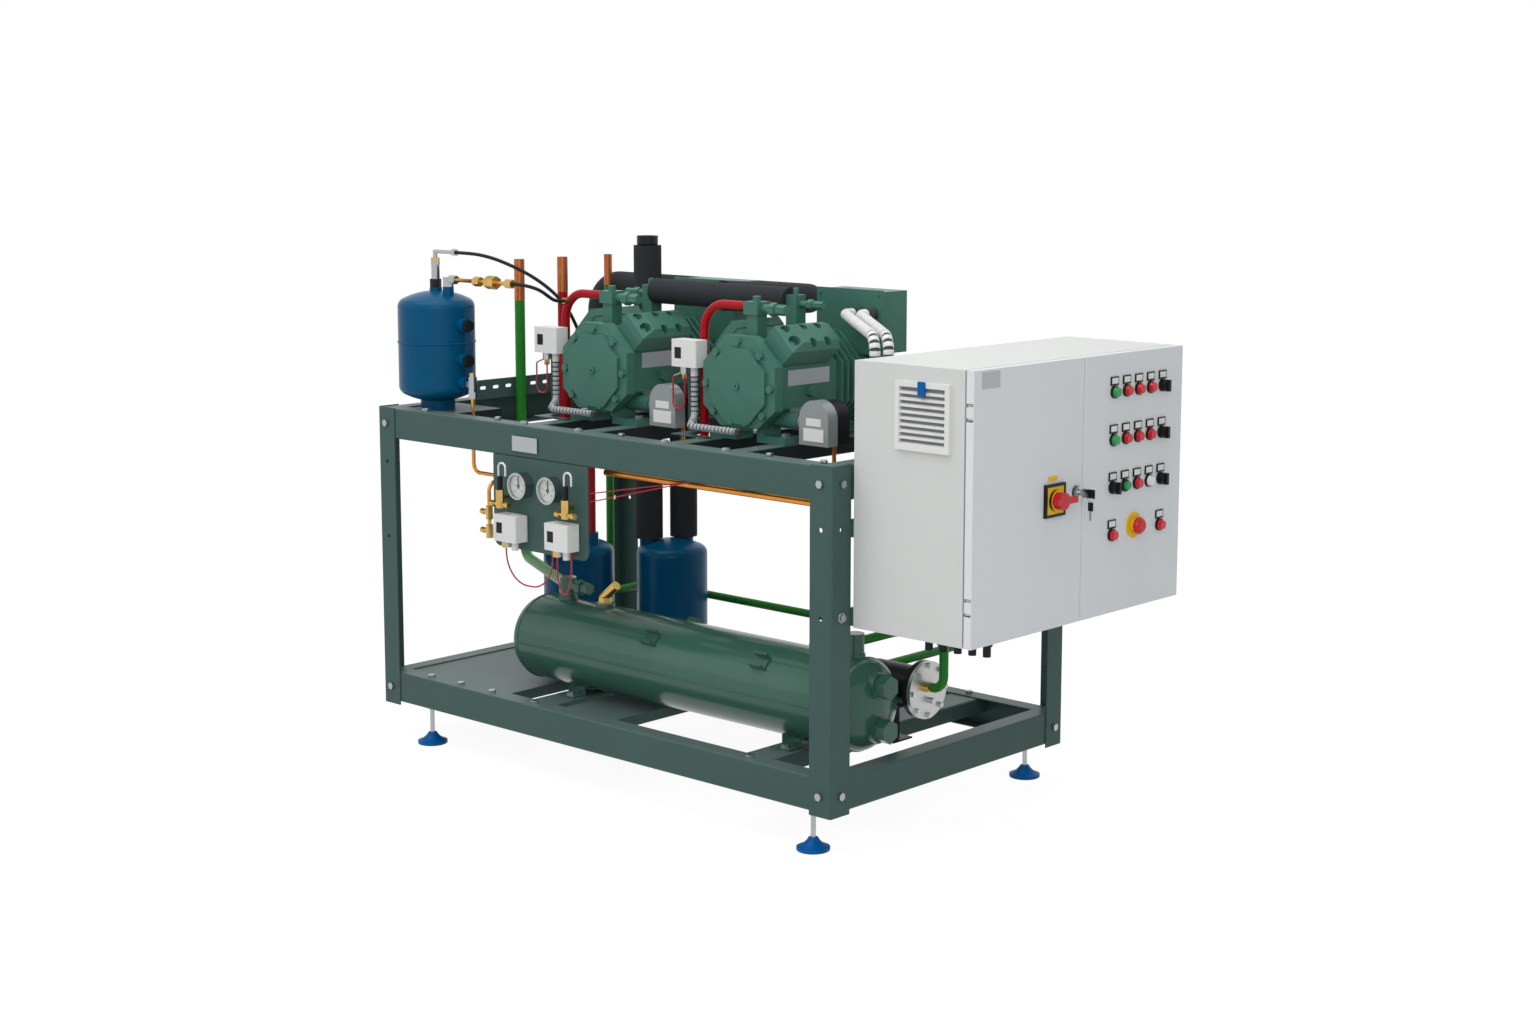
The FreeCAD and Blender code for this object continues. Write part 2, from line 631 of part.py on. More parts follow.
def rail(name, length, x, y, z, turns, cope, end_bolt, flange_holes, foot_holes):
    """A channel rail that lies along its own X with its web outwards. Its flanges are cut back
    at both ends where it meets the rails that cross it."""
    thing = body(name, x, y, z, quarter(turns))
    profile = sketch(thing, "YZ_Plane", name + "_channel")
    channel_profile(profile, s.rail_height, s.rail_flange, s.rail_sheet)
    pad(thing, profile, length)
    if cope is not None:
        notches = sketch(thing, "XY_Plane", name + "_copes")
        rectangle(notches, 0, s.rail_sheet, cope, s.rail_flange)
        rectangle(notches, length - cope, s.rail_sheet, length, s.rail_flange)
        pocket(thing, notches, back=True)
    bolts = sketch(thing, "XZ_Plane", name + "_end_bolts")
    ring(bolts, end_bolt, s.rail_height / 2, s.post_hole)
    ring(bolts, length - end_bolt, s.rail_height / 2, s.post_hole)
    pocket(thing, bolts)
    line = deck_bolt_line - s.post_sheet
    if flange_holes:
        deck = sketch(thing, "XY_Plane", name + "_deck_holes", s.rail_height)
        for along in flange_holes:
            ring(deck, along, line, s.post_hole)
        pocket(thing, deck, s.rail_sheet * 2)
    if foot_holes:
        feet = sketch(thing, "XY_Plane", name + "_foot_holes")
        for along in foot_holes:
            ring(feet, along, s.foot_side_inset - s.post_sheet, s.stem_diameter + 1)
        pocket(thing, feet, s.rail_sheet * 2, back=True)
    return thing


def rail_ring(name, z, deck_bolts, feet):
    """The four rails at one height; the short ones stand between the long ones' webs."""
    long_length = rack_right - 2 * rail_end
    short_length = rack_back - 2 * inner_front
    cope = s.post_sheet + s.rail_flange + s.cope_clearance - rail_end
    long_bolt = s.post_bolt_line - rail_end
    short_bolt = s.post_bolt_line - inner_front
    front_holes = [spot - rail_end for spot in deck_bolts]
    rear_holes = [rack_right - rail_end - spot for spot in deck_bolts]
    left_foot, right_foot = s.foot_left_inset - rail_end, s.foot_right_inset - rail_end
    front_feet = [left_foot, long_length - right_foot]
    rear_feet = [long_length - left_foot, right_foot]
    rails = [
        rail(name + "_front", long_length, rail_end, s.post_sheet, z, 0, cope, long_bolt,
             front_holes, front_feet if feet else []),
        rail(name + "_right", short_length, rack_right - s.post_sheet, inner_front, z, 1, None,
             short_bolt, [], []),
        rail(name + "_rear", long_length, rack_right - rail_end, rack_back - s.post_sheet, z,
             2, cope, long_bolt, rear_holes, rear_feet if feet else []),
        rail(name + "_left", short_length, s.post_sheet, rack_back - inner_front, z, 3, None,
             short_bolt, [], [])]
    return node(group(name, rails), name)


def bearer(name, centre, width, top, hole_lines):
    """An inverted channel that runs from the front rail to the rear rail under their flanges."""
    thing = body(name, centre - width / 2, deck_edge, top - s.bearer_depth)
    gauge = s.bearer_sheet
    inside = s.bend_inside
    outside = gauge + inside
    high = s.bearer_depth
    profile = sketch(thing, "XZ_Plane", name + "_channel")
    loop(profile, [
        (0, 0), (gauge, 0), (gauge, high - outside), (outside, high - gauge, -inside),
        (width - outside, high - gauge), (width - gauge, high - outside, -inside),
        (width - gauge, 0), (width, 0), (width, high - outside),
        (width - outside, high, outside), (outside, high), (0, high - outside, outside)])
    pad(thing, profile, rack_back - 2 * deck_edge, back=True)
    holes = sketch(thing, "XY_Plane", name + "_holes", high)
    for line in hole_lines:
        ring(holes, width / 2, line - deck_edge, s.post_hole)
    pocket(thing, holes, outside)
    return thing


saddle_bolt_reach = s.saddle_half_span + s.saddle_foot / 2
saddle_bolt_lines = [s.receiver_y - saddle_bolt_reach, s.receiver_y + saddle_bolt_reach]
foot_bolt_lines = [s.compressor_front + s.foot_front,
                   s.compressor_front + s.foot_front + s.foot_pitch]
end_bolt_lines = [deck_bolt_line, rack_back - deck_bolt_line]
sheet_bolts = [s.base_sheet_edge * share for share in (0.37, 0.64, 0.92)]
shelf_bolt = s.reservoir_x + s.ring_diameter / 2 - 8


def make_frame():
    post("post_front_left", 0, 0, 0)
    post("post_front_right", rack_right, 0, 1)
    post("post_rear_right", rack_right, rack_back, 2)
    post("post_rear_left", 0, rack_back, 3)
    rail_ring("bottom_rails", low_rail_bottom, sheet_bolts + receiver_bearers, True)
    rail_ring("top_rails", high_rail_bottom, [shelf_bolt] + bearer_centres, False)
    low_bearers = [bearer(f"receiver_bearer_{number}", centre, s.receiver_bearer_width,
                          floor_sheet_top, end_bolt_lines + saddle_bolt_lines)
                   for number, centre in enumerate(receiver_bearers, start=1)]
    node(group("bottom_crossmembers", low_bearers), "bottom_crossmembers")
    high_bearers = [bearer(f"compressor_bearer_{number}", centre, s.bearer_width, deck_height,
                           end_bolt_lines + foot_bolt_lines)
                    for number, centre in enumerate(bearer_centres, start=1)]
    node(group("top_crossmembers", high_bearers + [reservoir_shelf(), pipe_bracket()]),
         "top_crossmembers")
    node(group("base_sheet", [
        folded_sheet("base_sheet_left", deck_edge, s.base_sheet_edge, sheet_bolts),
        folded_sheet("base_sheet_middle", s.second_sheet_start, s.second_sheet_edge, [])]),
        "base_sheet")


def folded_sheet(name, left, right, bolts):
    """A floor sheet under the bottom rails' flanges with its free edge folded down."""
    thing = body(name, left, deck_edge, floor_sheet_top - s.base_sheet_gauge)
    deep = rack_back - 2 * deck_edge
    plate = sketch(thing, "XY_Plane", name + "_plate")
    rectangle(plate, 0, 0, right - left, deep)
    pad(thing, plate, s.base_sheet_gauge)
    lip = sketch(thing, "XZ_Plane", name + "_lip")
    rectangle(lip, right - left - s.base_sheet_gauge, -s.sheet_lip, right - left, 0)
    pad(thing, lip, deep, back=True)
    if bolts:
        holes = sketch(thing, "XY_Plane", name + "_holes")
        for spot in bolts:
            for line in end_bolt_lines:
                ring(holes, spot - left, line - deck_edge, s.post_hole)
        pocket(thing, holes, s.base_sheet_gauge * 2, back=True)
    return thing


def reservoir_shelf():
    """The folded plate in the front left corner that the oil reservoir stands on."""
    thing = body("reservoir_shelf", deck_edge, deck_edge, deck_height - s.bearer_sheet)
    plate = sketch(thing, "XY_Plane", "shelf_plate")
    rectangle(plate, 0, 0, s.shelf_length, s.shelf_depth)
    pad(thing, plate, s.bearer_sheet)
    lip = sketch(thing, "XZ_Plane", "shelf_lip")
    rectangle(lip, s.shelf_length - s.bearer_sheet, -s.sheet_lip, s.shelf_length, 0)
    pad(thing, lip, s.shelf_depth, back=True)
    holes = sketch(thing, "XY_Plane", "shelf_holes")
    ring(holes, shelf_bolt - deck_edge, deck_bolt_line - deck_edge, s.post_hole)
    pocket(thing, holes, s.bearer_sheet * 2, back=True)
    return thing


def pipe_bracket():
    """A slotted angle that stands on the left rail and holds the pipes that come up there."""
    thing = body("pipe_bracket", s.post_sheet + s.rail_flange - s.bracket_foot, s.bracket_start,
                 high_rail_top)
    gauge = s.rail_sheet
    angle = sketch(thing, "XZ_Plane", "bracket_angle")
    loop(angle, [(0, 0), (s.bracket_foot, 0), (s.bracket_foot, s.bracket_height),
                 (s.bracket_foot - gauge, s.bracket_height), (s.bracket_foot - gauge, gauge),
                 (0, gauge)])
    pad(thing, angle, s.bracket_length, back=True)
    slot = sketch(thing, "YZ_Plane", "bracket_slot")
    middle = s.bracket_height * 0.56
    near = s.slot_pitch / 2
    half = s.slot_width / 2
    straight = s.slot_length - s.slot_width
    loop(slot, [(near, middle - half, half), (near + straight, middle - half),
                (near + straight + half, middle, half), (near + straight, middle + half, half),
                (near, middle + half), (near - half, middle, half)])
    first = pocket(thing, slot, back=True)
    count = int(s.bracket_length.value // s.slot_pitch.value)
    row_of(thing, first, "Y_Axis", (count - 1) * s.slot_pitch, count, "bracket_slots")
    return thing


def make_frame_bolts():
    """Every frame bolt with its nut: rails to posts, deck pieces to rails, saddles and feet."""
    bolts = []
    grip = s.post_sheet + s.rail_sheet
    for height in (low_bolt_height, high_bolt_height):
        tag = f"bolt_{len(bolts)}"
        for side, x in enumerate((s.post_bolt_line, rack_right - s.post_bolt_line)):
            bolts.append(bolt(f"{tag}_front_{side}", x, 0, height, "y", grip))
            bolts.append(bolt(f"{tag}_rear_{side}", x, rack_back, height, "-y", grip))
        for side, y in enumerate((s.post_bolt_line, rack_back - s.post_bolt_line)):
            bolts.append(bolt(f"{tag}_left_{side}", 0, y, height, "x", grip))
            bolts.append(bolt(f"{tag}_right_{side}", rack_right, y, height, "-x", grip))
    grip = s.rail_sheet + s.bearer_sheet
    for line_number, line in enumerate(end_bolt_lines):
        for number, spot in enumerate(bearer_centres):
            bolts.append(bolt(f"deck_bolt_{line_number}_{number}", spot, line, high_rail_top,
                              "-z", grip))
        for number, spot in enumerate(sheet_bolts + receiver_bearers):
            bolts.append(bolt(f"floor_bolt_{line_number}_{number}", spot, line, low_rail_top,
                              "-z", grip))
    bolts.append(bolt("shelf_bolt", shelf_bolt, deck_bolt_line, high_rail_top, "-z", grip))
    grip = s.saddle_sheet + s.bearer_sheet
    for line_number, line in enumerate(saddle_bolt_lines):
        for number, spot in enumerate(receiver_bearers):
            bolts.append(bolt(f"saddle_bolt_{line_number}_{number}", spot, line,
                              floor_sheet_top + s.saddle_sheet, "-z", grip))
    grip = s.foot_thickness + s.bearer_sheet
    for line_number, line in enumerate(foot_bolt_lines):
        for number, spot in enumerate(bearer_centres):
            bolts.append(bolt(f"compressor_bolt_{line_number}_{number}", spot, line,
                              deck_height + s.foot_thickness, "-z", grip))
    for number, (y, height) in enumerate(cabinet_bolt_places):
        bolts.append(bolt(f"cabinet_bolt_{number}", rack_right - s.post_sheet - s.rail_sheet, y,
                          height, "x", s.rail_sheet + s.post_sheet + s.cabinet_standoff
                          + s.cabinet_sheet))
    node(group("frame_bolts", bolts), "frame_bolts")


def make_feet():
    """Four levelling feet: a domed pad, and a stem locked by nuts in the rail's lower flange."""
    feet = []
    floor = -s.foot_height
    for end, x in (("left", s.foot_left_inset), ("right", rack_right - s.foot_right_inset)):
        for side, y in (("front", s.foot_side_inset), ("rear", rack_back - s.foot_side_inset)):
            name = f"foot_{side}_{end}"
            pad_body = body(name + "_pad", x, y, floor)
            profile = sketch(pad_body, "XZ_Plane", name + "_profile")
            half = s.pad_diameter / 2
            neck = s.stem_diameter / 2 + s.foot_neck_wall
            socket = s.stem_diameter / 2 + s.running_clearance
            rise = s.pad_dome - s.pad_rim
            loop(profile, [
                (0, 0), (half - 2, 0), (half, 2, 2), (half, s.pad_rim),
                (neck, s.pad_dome, -rise * 2), (socket, s.pad_dome),
                (socket, s.pad_dome - s.foot_socket), (0, s.pad_dome - s.foot_socket)])
            revolve(pad_body, profile)
            seat = floor + s.pad_dome - s.foot_socket
            stem_top = low_rail_bottom + s.rail_sheet + s.stem_above_rail
            stem = rod(name + "_stem", s.stem_diameter, stem_top - seat, x, y, seat)
            nuts = [hexagon(f"{name}_nut_{number}", s.stem_nut, s.stem_nut_depth, x, y, height)
                    for number, height in enumerate((low_rail_bottom - s.stem_nut_depth,
                                                     low_rail_bottom + s.rail_sheet))]
            feet += [pad_body, fuse(name + "_stem_and_nuts", [stem] + nuts)]
    node(group("levelling_feet", feet), "levelling_feet")


# Pressure vessels
def dish(half, crown, knuckle):
    """Depth of a dished head and the place where its knuckle meets its crown."""
    span = crown - knuckle
    offset = half - knuckle
    centre = root(span * span - offset * offset)
    depth = crown - centre
    return depth, crown - crown * centre / span, crown * offset / span


def vessel_profile(drawing, length, diameter, wall, crown, knuckle, lie):
    """Half the section of a shell with two dished heads, beside the axis it is turned about."""
    half = diameter / 2
    depth, tip, reach = dish(half, crown, knuckle)
    small_depth, small_tip, small_reach = dish(half - wall, crown - wall, knuckle - wall)
    small_depth, small_tip = small_depth + wall, small_tip + wall
    bend, small_bend = knuckle, knuckle - wall
    dome, small_dome = crown, crown - wall
    outside = [(tip, reach, -dome), (depth, half, -bend), (length - depth, half),
               (length - tip, reach, -bend), (length, 0, -dome)]
    inside = [(length - wall, 0), (length - small_tip, small_reach, small_dome),
              (length - small_depth, half - wall, small_bend), (small_depth, half - wall),
              (small_tip, small_reach, small_bend), (wall, 0, small_dome)]
    corners = [(0, 0)] + outside + inside
    if not lie:
        corners = [(corner[1], corner[0]) + ((-corner[2],) if len(corner) == 3 else ())
                   for corner in corners]
    loop(drawing, corners)


def standing_vessel(name, x, y, foot, ring_high, ring_across, diameter, height):
    """An upright vessel on a base ring, from the ring's foot."""
    thing = body(name + "_shell", x, y, foot + ring_high)
    profile = sketch(thing, "XZ_Plane", name + "_profile")
    vessel_profile(profile, height, diameter, s.vessel_wall, s.vessel_crown, s.vessel_knuckle,
                   False)
    revolve(thing, profile)
    outer = ring_across / 2
    inner = outer - s.ring_wall
    contact = s.vessel_crown - root(s.vessel_crown * s.vessel_crown - inner * inner)
    base = sketch(thing, "XZ_Plane", name + "_ring")
    rectangle(base, inner, -ring_high, outer, contact + s.vessel_wall / 2)
    revolve(thing, base)
    return thing


receiver_height = floor_sheet_top + s.receiver_gap + s.receiver_diameter / 2
receiver_top = receiver_height + s.receiver_diameter / 2
valve_seat = receiver_top + s.valve_seat_rise


def make_receiver():
    """The lying liquid receiver with the pads and hooks that are welded to it."""
    shell = body("receiver_drum", s.receiver_left, s.receiver_y, receiver_height)
    profile = sketch(shell, "XZ_Plane", "receiver_profile")
    vessel_profile(profile, s.receiver_length, s.receiver_diameter, s.receiver_wall,
                   s.head_crown, s.head_knuckle, True)
    revolve(shell, profile, "H_Axis")
    root_height = receiver_top - s.receiver_wall / 2
    welded = [shell]
    for name, x in (("valve", s.valve_x), ("relief", s.relief_x), ("outlet", s.outlet_x)):
        welded.append(rod(name + "_boss", s.valve_boss, valve_seat - root_height, x,
                          s.receiver_y, root_height))
    right = s.receiver_left + s.receiver_length
    for number, side in enumerate((-1, 1)):
        height = receiver_height + side * s.plug_offset
        welded.append(rod(f"plug_boss_{number}", s.plug_boss, s.plug_boss_length,
                          right + s.plug_boss_reach - s.plug_boss_length, s.receiver_y, height,
                          "x"))
    for number, (share, side) in enumerate(receiver_hooks):
        welded.append(receiver_hook(f"hook_{number}", share, side))
    node(fuse("receiver_shell", welded), "receiver_shell")


# Share of the receiver's length at which each hook stands, and its side: -1 is the front
receiver_hooks = [(0.44, -1), (0.75, -1), (0.43, 1), (0.775, 1)]


def receiver_hook(name, share, side):
    """A channel welded to the receiver's shoulder, open outwards; side -1 is the front."""
    turn = FreeCAD.Rotation(FreeCAD.Vector(1, 0, 0), -side * 48)
    x = s.receiver_left + s.receiver_length * share - s.hook_width / 2
    thing = body(name, x, s.receiver_y, receiver_height, turn)
    half = s.receiver_diameter / 2
    start = half - s.receiver_wall / 2
    deep = s.hook_depth / 2
    gauge = s.hook_sheet
    plate = sketch(thing, "YZ_Plane", name + "_fold")
    rim = half + s.hook_rise
    loop(plate, [(-deep, start), (deep, start), (deep, rim), (deep - gauge, rim),
                 (deep - gauge, half + gauge), (-deep + gauge, half + gauge),
                 (-deep + gauge, rim), (-deep, rim)])
    pad(thing, plate, s.hook_width)
    return thing


def make_saddles():
    """Two folded saddles that the receiver lies in, each bolted to its cross-member."""
    saddles = []
    gauge = s.saddle_sheet
    seat = s.receiver_diameter / 2 + s.running_clearance
    half = s.saddle_half_span
    reach = half + s.saddle_foot
    axis = receiver_height - floor_sheet_top
    seat_end = axis - root(seat * seat - half * half)
    under = seat + gauge
    leg = half - gauge
    under_end = axis - root(under * under - leg * leg)
    for number, centre in enumerate(receiver_bearers):
        name = f"saddle_{number}"
        thing = body(name, centre - s.saddle_width / 2, s.receiver_y, floor_sheet_top)
        profile = sketch(thing, "YZ_Plane", name + "_fold")
        loop(profile, [
            (-reach, 0), (-leg, 0), (-leg, under_end), (leg, under_end, under), (leg, 0),
            (reach, 0), (reach, gauge), (half, gauge), (half, seat_end),
            (-half, seat_end, -seat), (-half, gauge), (-reach, gauge)])
        pad(thing, profile, s.saddle_width)
        holes = sketch(thing, "XY_Plane", name + "_holes")
        for side in (-1, 1):
            ring(holes, s.saddle_width / 2, side * saddle_bolt_reach, s.post_hole)
        pocket(thing, holes, gauge * 2, back=True)
        saddles.append(thing)
    node(group("receiver_saddles", saddles), "receiver_saddles")


def angle_valve(name, x, y, z, across, along, reach):
    """A shut-off valve that stands on its boss, with its capped stem along one direction."""
    high = across * 1.1
    base = rod(name + "_base", across, high, x, y, z)
    middle = (as_size(x), as_size(y), z + high * 0.55)
    stem = rod(name + "_stem", across * 0.7, reach * 0.55, *middle, along)
    flats = hexagon(name + "_flats", across * 0.8, reach * 0.2,
                    *moved(middle, along, reach * 0.5), along)
    cap = hexagon(name + "_cap", across * 0.62, reach * 0.35,
                  *moved(middle, along, reach * 0.65), along)
    return fuse(name, [base, stem, flats, cap])


def make_receiver_fittings():
    right = s.receiver_left + s.receiver_length + s.plug_boss_reach
    fittings = []
    for number, side in enumerate((-1, 1)):
        height = receiver_height + side * s.plug_offset
        fittings.append(hexagon(f"receiver_plug_{number}", s.plug_across, s.plug_length, right,
                                s.receiver_y, height, "x"))
    fittings.append(angle_valve("inlet_valve", s.valve_x, s.receiver_y, valve_seat,
                                s.valve_width, "x", s.valve_reach))
    fittings.append(angle_valve("outlet_valve", s.outlet_x, s.receiver_y, valve_seat,
                                s.valve_width, "-x", s.valve_reach * 0.8))
    nut = hexagon("relief_nut", 30, 14, s.relief_x, s.receiver_y, valve_seat)
    case = rod("relief_case", 24, 62, s.relief_x - 8, s.receiver_y, valve_seat + 12)
    case.Placement.Rotation = FreeCAD.Rotation(FreeCAD.Vector(0, 1, 0), 52)
    fittings.append(fuse("relief_valve", [nut, case]))
    node(group("receiver_fittings", fittings), "receiver_fittings")


reservoir_top = deck_height + s.ring_height + s.reservoir_height
low_vessel_foot = floor_sheet_top


def side_boss(name, x, y, z, along, radius, length):
    """A threaded boss welded through a vessel's wall."""
    start = moved((as_size(x), as_size(y), as_size(z)), along, radius - s.vessel_wall * 0.6)
    return rod(name, s.boss_diameter, s.vessel_wall * 0.6 + length, *start, along)


def make_oil_reservoir():
    """The oil reservoir: shell, base ring, sight glass bosses and nozzles."""
    x, y = s.reservoir_x, s.reservoir_y
    foot = deck_height
    shell = standing_vessel("oil_reservoir", x, y, foot, s.ring_height,
                            s.ring_diameter, s.reservoir_diameter,
                            s.reservoir_height)
    half = s.reservoir_diameter / 2
    parts = [shell]
    for name, rise in (("low_glass", s.boss_low), ("high_glass", s.boss_high),
                       ("outlet", s.outlet_boss)):
        parts.append(side_boss("reservoir_" + name, x, y, foot + rise, "x", half, s.boss_length))
    parts.append(rod("reservoir_top_nozzle", s.boss_diameter * 0.9, s.nozzle_rise + 3, x, y,
                     reservoir_top - 3))
    parts.append(rod("reservoir_side_nozzle", s.boss_diameter * 0.8, s.nozzle_rise + 16,
                     x + s.top_nozzle_offset, y, reservoir_top - 12))
    node(fuse("oil_reservoir", parts), "oil_reservoir")


def make_standing_vessels():
    """The oil separator and the suction accumulator on the floor sheet."""
    x, y = s.separator_x, s.separator_y
    separator = standing_vessel("oil_separator", x, y, low_vessel_foot, s.low_ring_height,
                                s.low_ring_diameter, s.separator_diameter, s.separator_height)
    top = low_vessel_foot + s.low_ring_height + s.separator_height
    ports = [rod(f"separator_port_{number}", s.discharge_outside + 8, s.port_rise,
                 x + side * s.separator_port_offset, y, top - s.port_sink)
             for number, side in enumerate((-1, 1))]
    node(fuse("oil_separator", [separator] + ports), "oil_separator")
    x, y = s.accumulator_x, s.accumulator_y
    accumulator = standing_vessel("suction_accumulator", x, y, low_vessel_foot,
                                  s.low_ring_height, s.low_ring_diameter,
                                  s.accumulator_diameter, s.accumulator_height)
    top = low_vessel_foot + s.low_ring_height + s.accumulator_height
    ports = [rod(f"accumulator_port_{number}", s.suction_bore - 2 * s.running_clearance,
                 s.port_rise, px, py,
                 top - s.port_sink)
             for number, (px, py) in enumerate(((s.riser_x, s.riser_y),
                                                (s.outlet_riser_x, s.rear_run_y)))]
    node(fuse("suction_accumulator", [accumulator] + ports), "suction_accumulator")


def make_drier():
    """The filter drier: a shell with a bolted cover at its right end."""
    left = s.drier_right - s.drier_length
    shell = body("drier_shell", left, s.drier_y, s.drier_z)
    profile = sketch(shell, "XZ_Plane", "drier_section")
    half = s.drier_diameter / 2
    rim = s.drier_flange / 2
    length = s.drier_length - s.drier_cover_depth
    wall = s.vessel_wall
    depth = half * 0.4
    loop(profile, [
        (0, 0), (0, half - depth), (depth, half, -depth), (length - s.drier_flange_depth, half),
        (length - s.drier_flange_depth, rim), (length, rim), (length, half - wall),
        (depth, half - wall), (wall, half - depth, depth - wall), (wall, 0)])
    revolve(shell, profile, "H_Axis")
    leg_height = s.drier_z - half - floor_sheet_top + wall / 2
    leg_x = left + s.drier_length / 3
    leg = block("drier_leg", wall, s.drier_stand_width, leg_height, leg_x,
                s.drier_y - s.drier_stand_width / 2, floor_sheet_top)
    foot = block("drier_foot", s.drier_stand_foot, s.drier_stand_width, wall, leg_x,
                 s.drier_y - s.drier_stand_width / 2, floor_sheet_top)
    node(fuse("drier_shell", [shell, leg, foot]), "drier_shell")
    cover = body("drier_cover", s.drier_right - s.drier_cover_depth, s.drier_y, s.drier_z)
    plate = sketch(cover, "YZ_Plane", "cover_plate")
    ring(plate, 0, 0, s.drier_flange)
    pad(cover, plate, s.drier_cover_depth)
    head = sketch(cover, "YZ_Plane", "cover_bolt", s.drier_cover_depth)
    ring(head, 0, s.drier_bolt_circle / 2, 12)
    bolt_head = pad(cover, head, 8)
    circle_of(cover, bolt_head, "X_Axis", s.drier_bolt_count, "cover_bolts")
    lug = sketch(cover, "YZ_Plane", "cover_lugs", s.drier_cover_depth)
    ring(lug, -14, 8, 18)
    ring(lug, 16, 8, 14)
    ring(lug, 2, -24, 14)
    pad(cover, lug, 16)
    node(cover, "drier_cover")


# Compressors
hub_height = deck_height + s.crank_height


def flange_corners(inset):
    """The uneven octagon of the compressor's front, seen from the front, drawn inwards."""
    wide, top, low = s.flange_half_width - inset, s.flange_above - inset, s.flange_below - inset
    trim = inset * 0.41
    return [(-(s.flange_bottom_half - trim), -low), (s.flange_bottom_half - trim, -low),
            (wide, -(s.flange_side_down - trim)), (wide, s.flange_side_up - trim),
            (s.flange_top_half - trim, top), (-(s.flange_top_half - trim), top),
            (-wide, s.flange_side_up - trim), (-wide, -(s.flange_side_down - trim))]


def octagon(across):
    """A regular octagon of that size across its flats, as corners."""
    half = across / 2
    side = half * (math.sqrt(2) - 1)
    return [(-side, -half), (side, -half), (half, -side), (half, side), (side, half),
            (-side, half), (-half, side), (-half, -side)]


def bolt_places():
    """Two bolts on each long side of the flange and one on each short one."""
    corners = [(x.value, y.value) for x, y in flange_corners(s.flange_bolt_inset)]
    names = flange_corners(s.flange_bolt_inset)
    places = []
    for index, (start, end) in enumerate(zip(names, names[1:] + names[:1])):
        first, last = corners[index], corners[(index + 1) % 8]
        span = math.hypot(last[0] - first[0], last[1] - first[1])
        for share in ([0.5] if span < 95 else [0.3, 0.72]):
            places.append((start[0] + (end[0] - start[0]) * share,
                           start[1] + (end[1] - start[1]) * share))
    return places


def end_cover(tag, centre):
    """The front cover: a plate with a raised octagon and boss, and its ring of bolts."""
    thing = body("end_cover_" + tag, centre, s.compressor_front, hub_height)
    plate = sketch(thing, "XZ_Plane", f"cover_{tag}_plate")
    loop(plate, flange_corners(as_size(0)))
    pad(thing, plate, s.cover_plate, back=True)
    raised = sketch(thing, "XZ_Plane", f"cover_{tag}_raised")
    loop(raised, octagon(s.cover_across))
    pad(thing, raised, s.cover_raise)
    boss = sketch(thing, "XZ_Plane", f"cover_{tag}_boss", s.cover_raise)
    ring(boss, 0, 0, s.boss_across)
    pad(thing, boss, s.boss_across / 4)
    recess = sketch(thing, "XZ_Plane", f"cover_{tag}_recess", s.cover_raise + s.boss_across / 4)
    ring(recess, 0, 0, s.boss_across / 3)
    pocket(thing, recess, s.boss_across / 3)
    tops = [hexagon(f"cover_{tag}_bolt_{number}", s.cover_bolt, s.cover_bolt_depth + 1,
                    centre + x, s.compressor_front + 1, hub_height + z, "-y")
            for number, (x, z) in enumerate(bolt_places())]
    return fuse(f"end_cover_{tag}_with_bolts", [thing] + tops)


def cylinder_bank(tag, centre, side):
    """One bank of two cylinders, leaning out from the crankcase."""
    turn = FreeCAD.Rotation(FreeCAD.Vector(0, 1, 0), side * s.bank_angle.value)
    thing = body(f"bank_{tag}_{side}", centre, bank_start_line(side), hub_height, turn)
    block_outline = sketch(thing, "XY_Plane", f"bank_{tag}_{side}_block", s.bank_start)
    half = s.bank_width / 2
    rectangle(block_outline, -half, 0, half, s.bank_length)
    pad(thing, block_outline, s.bank_reach - s.bank_start)
    return thing


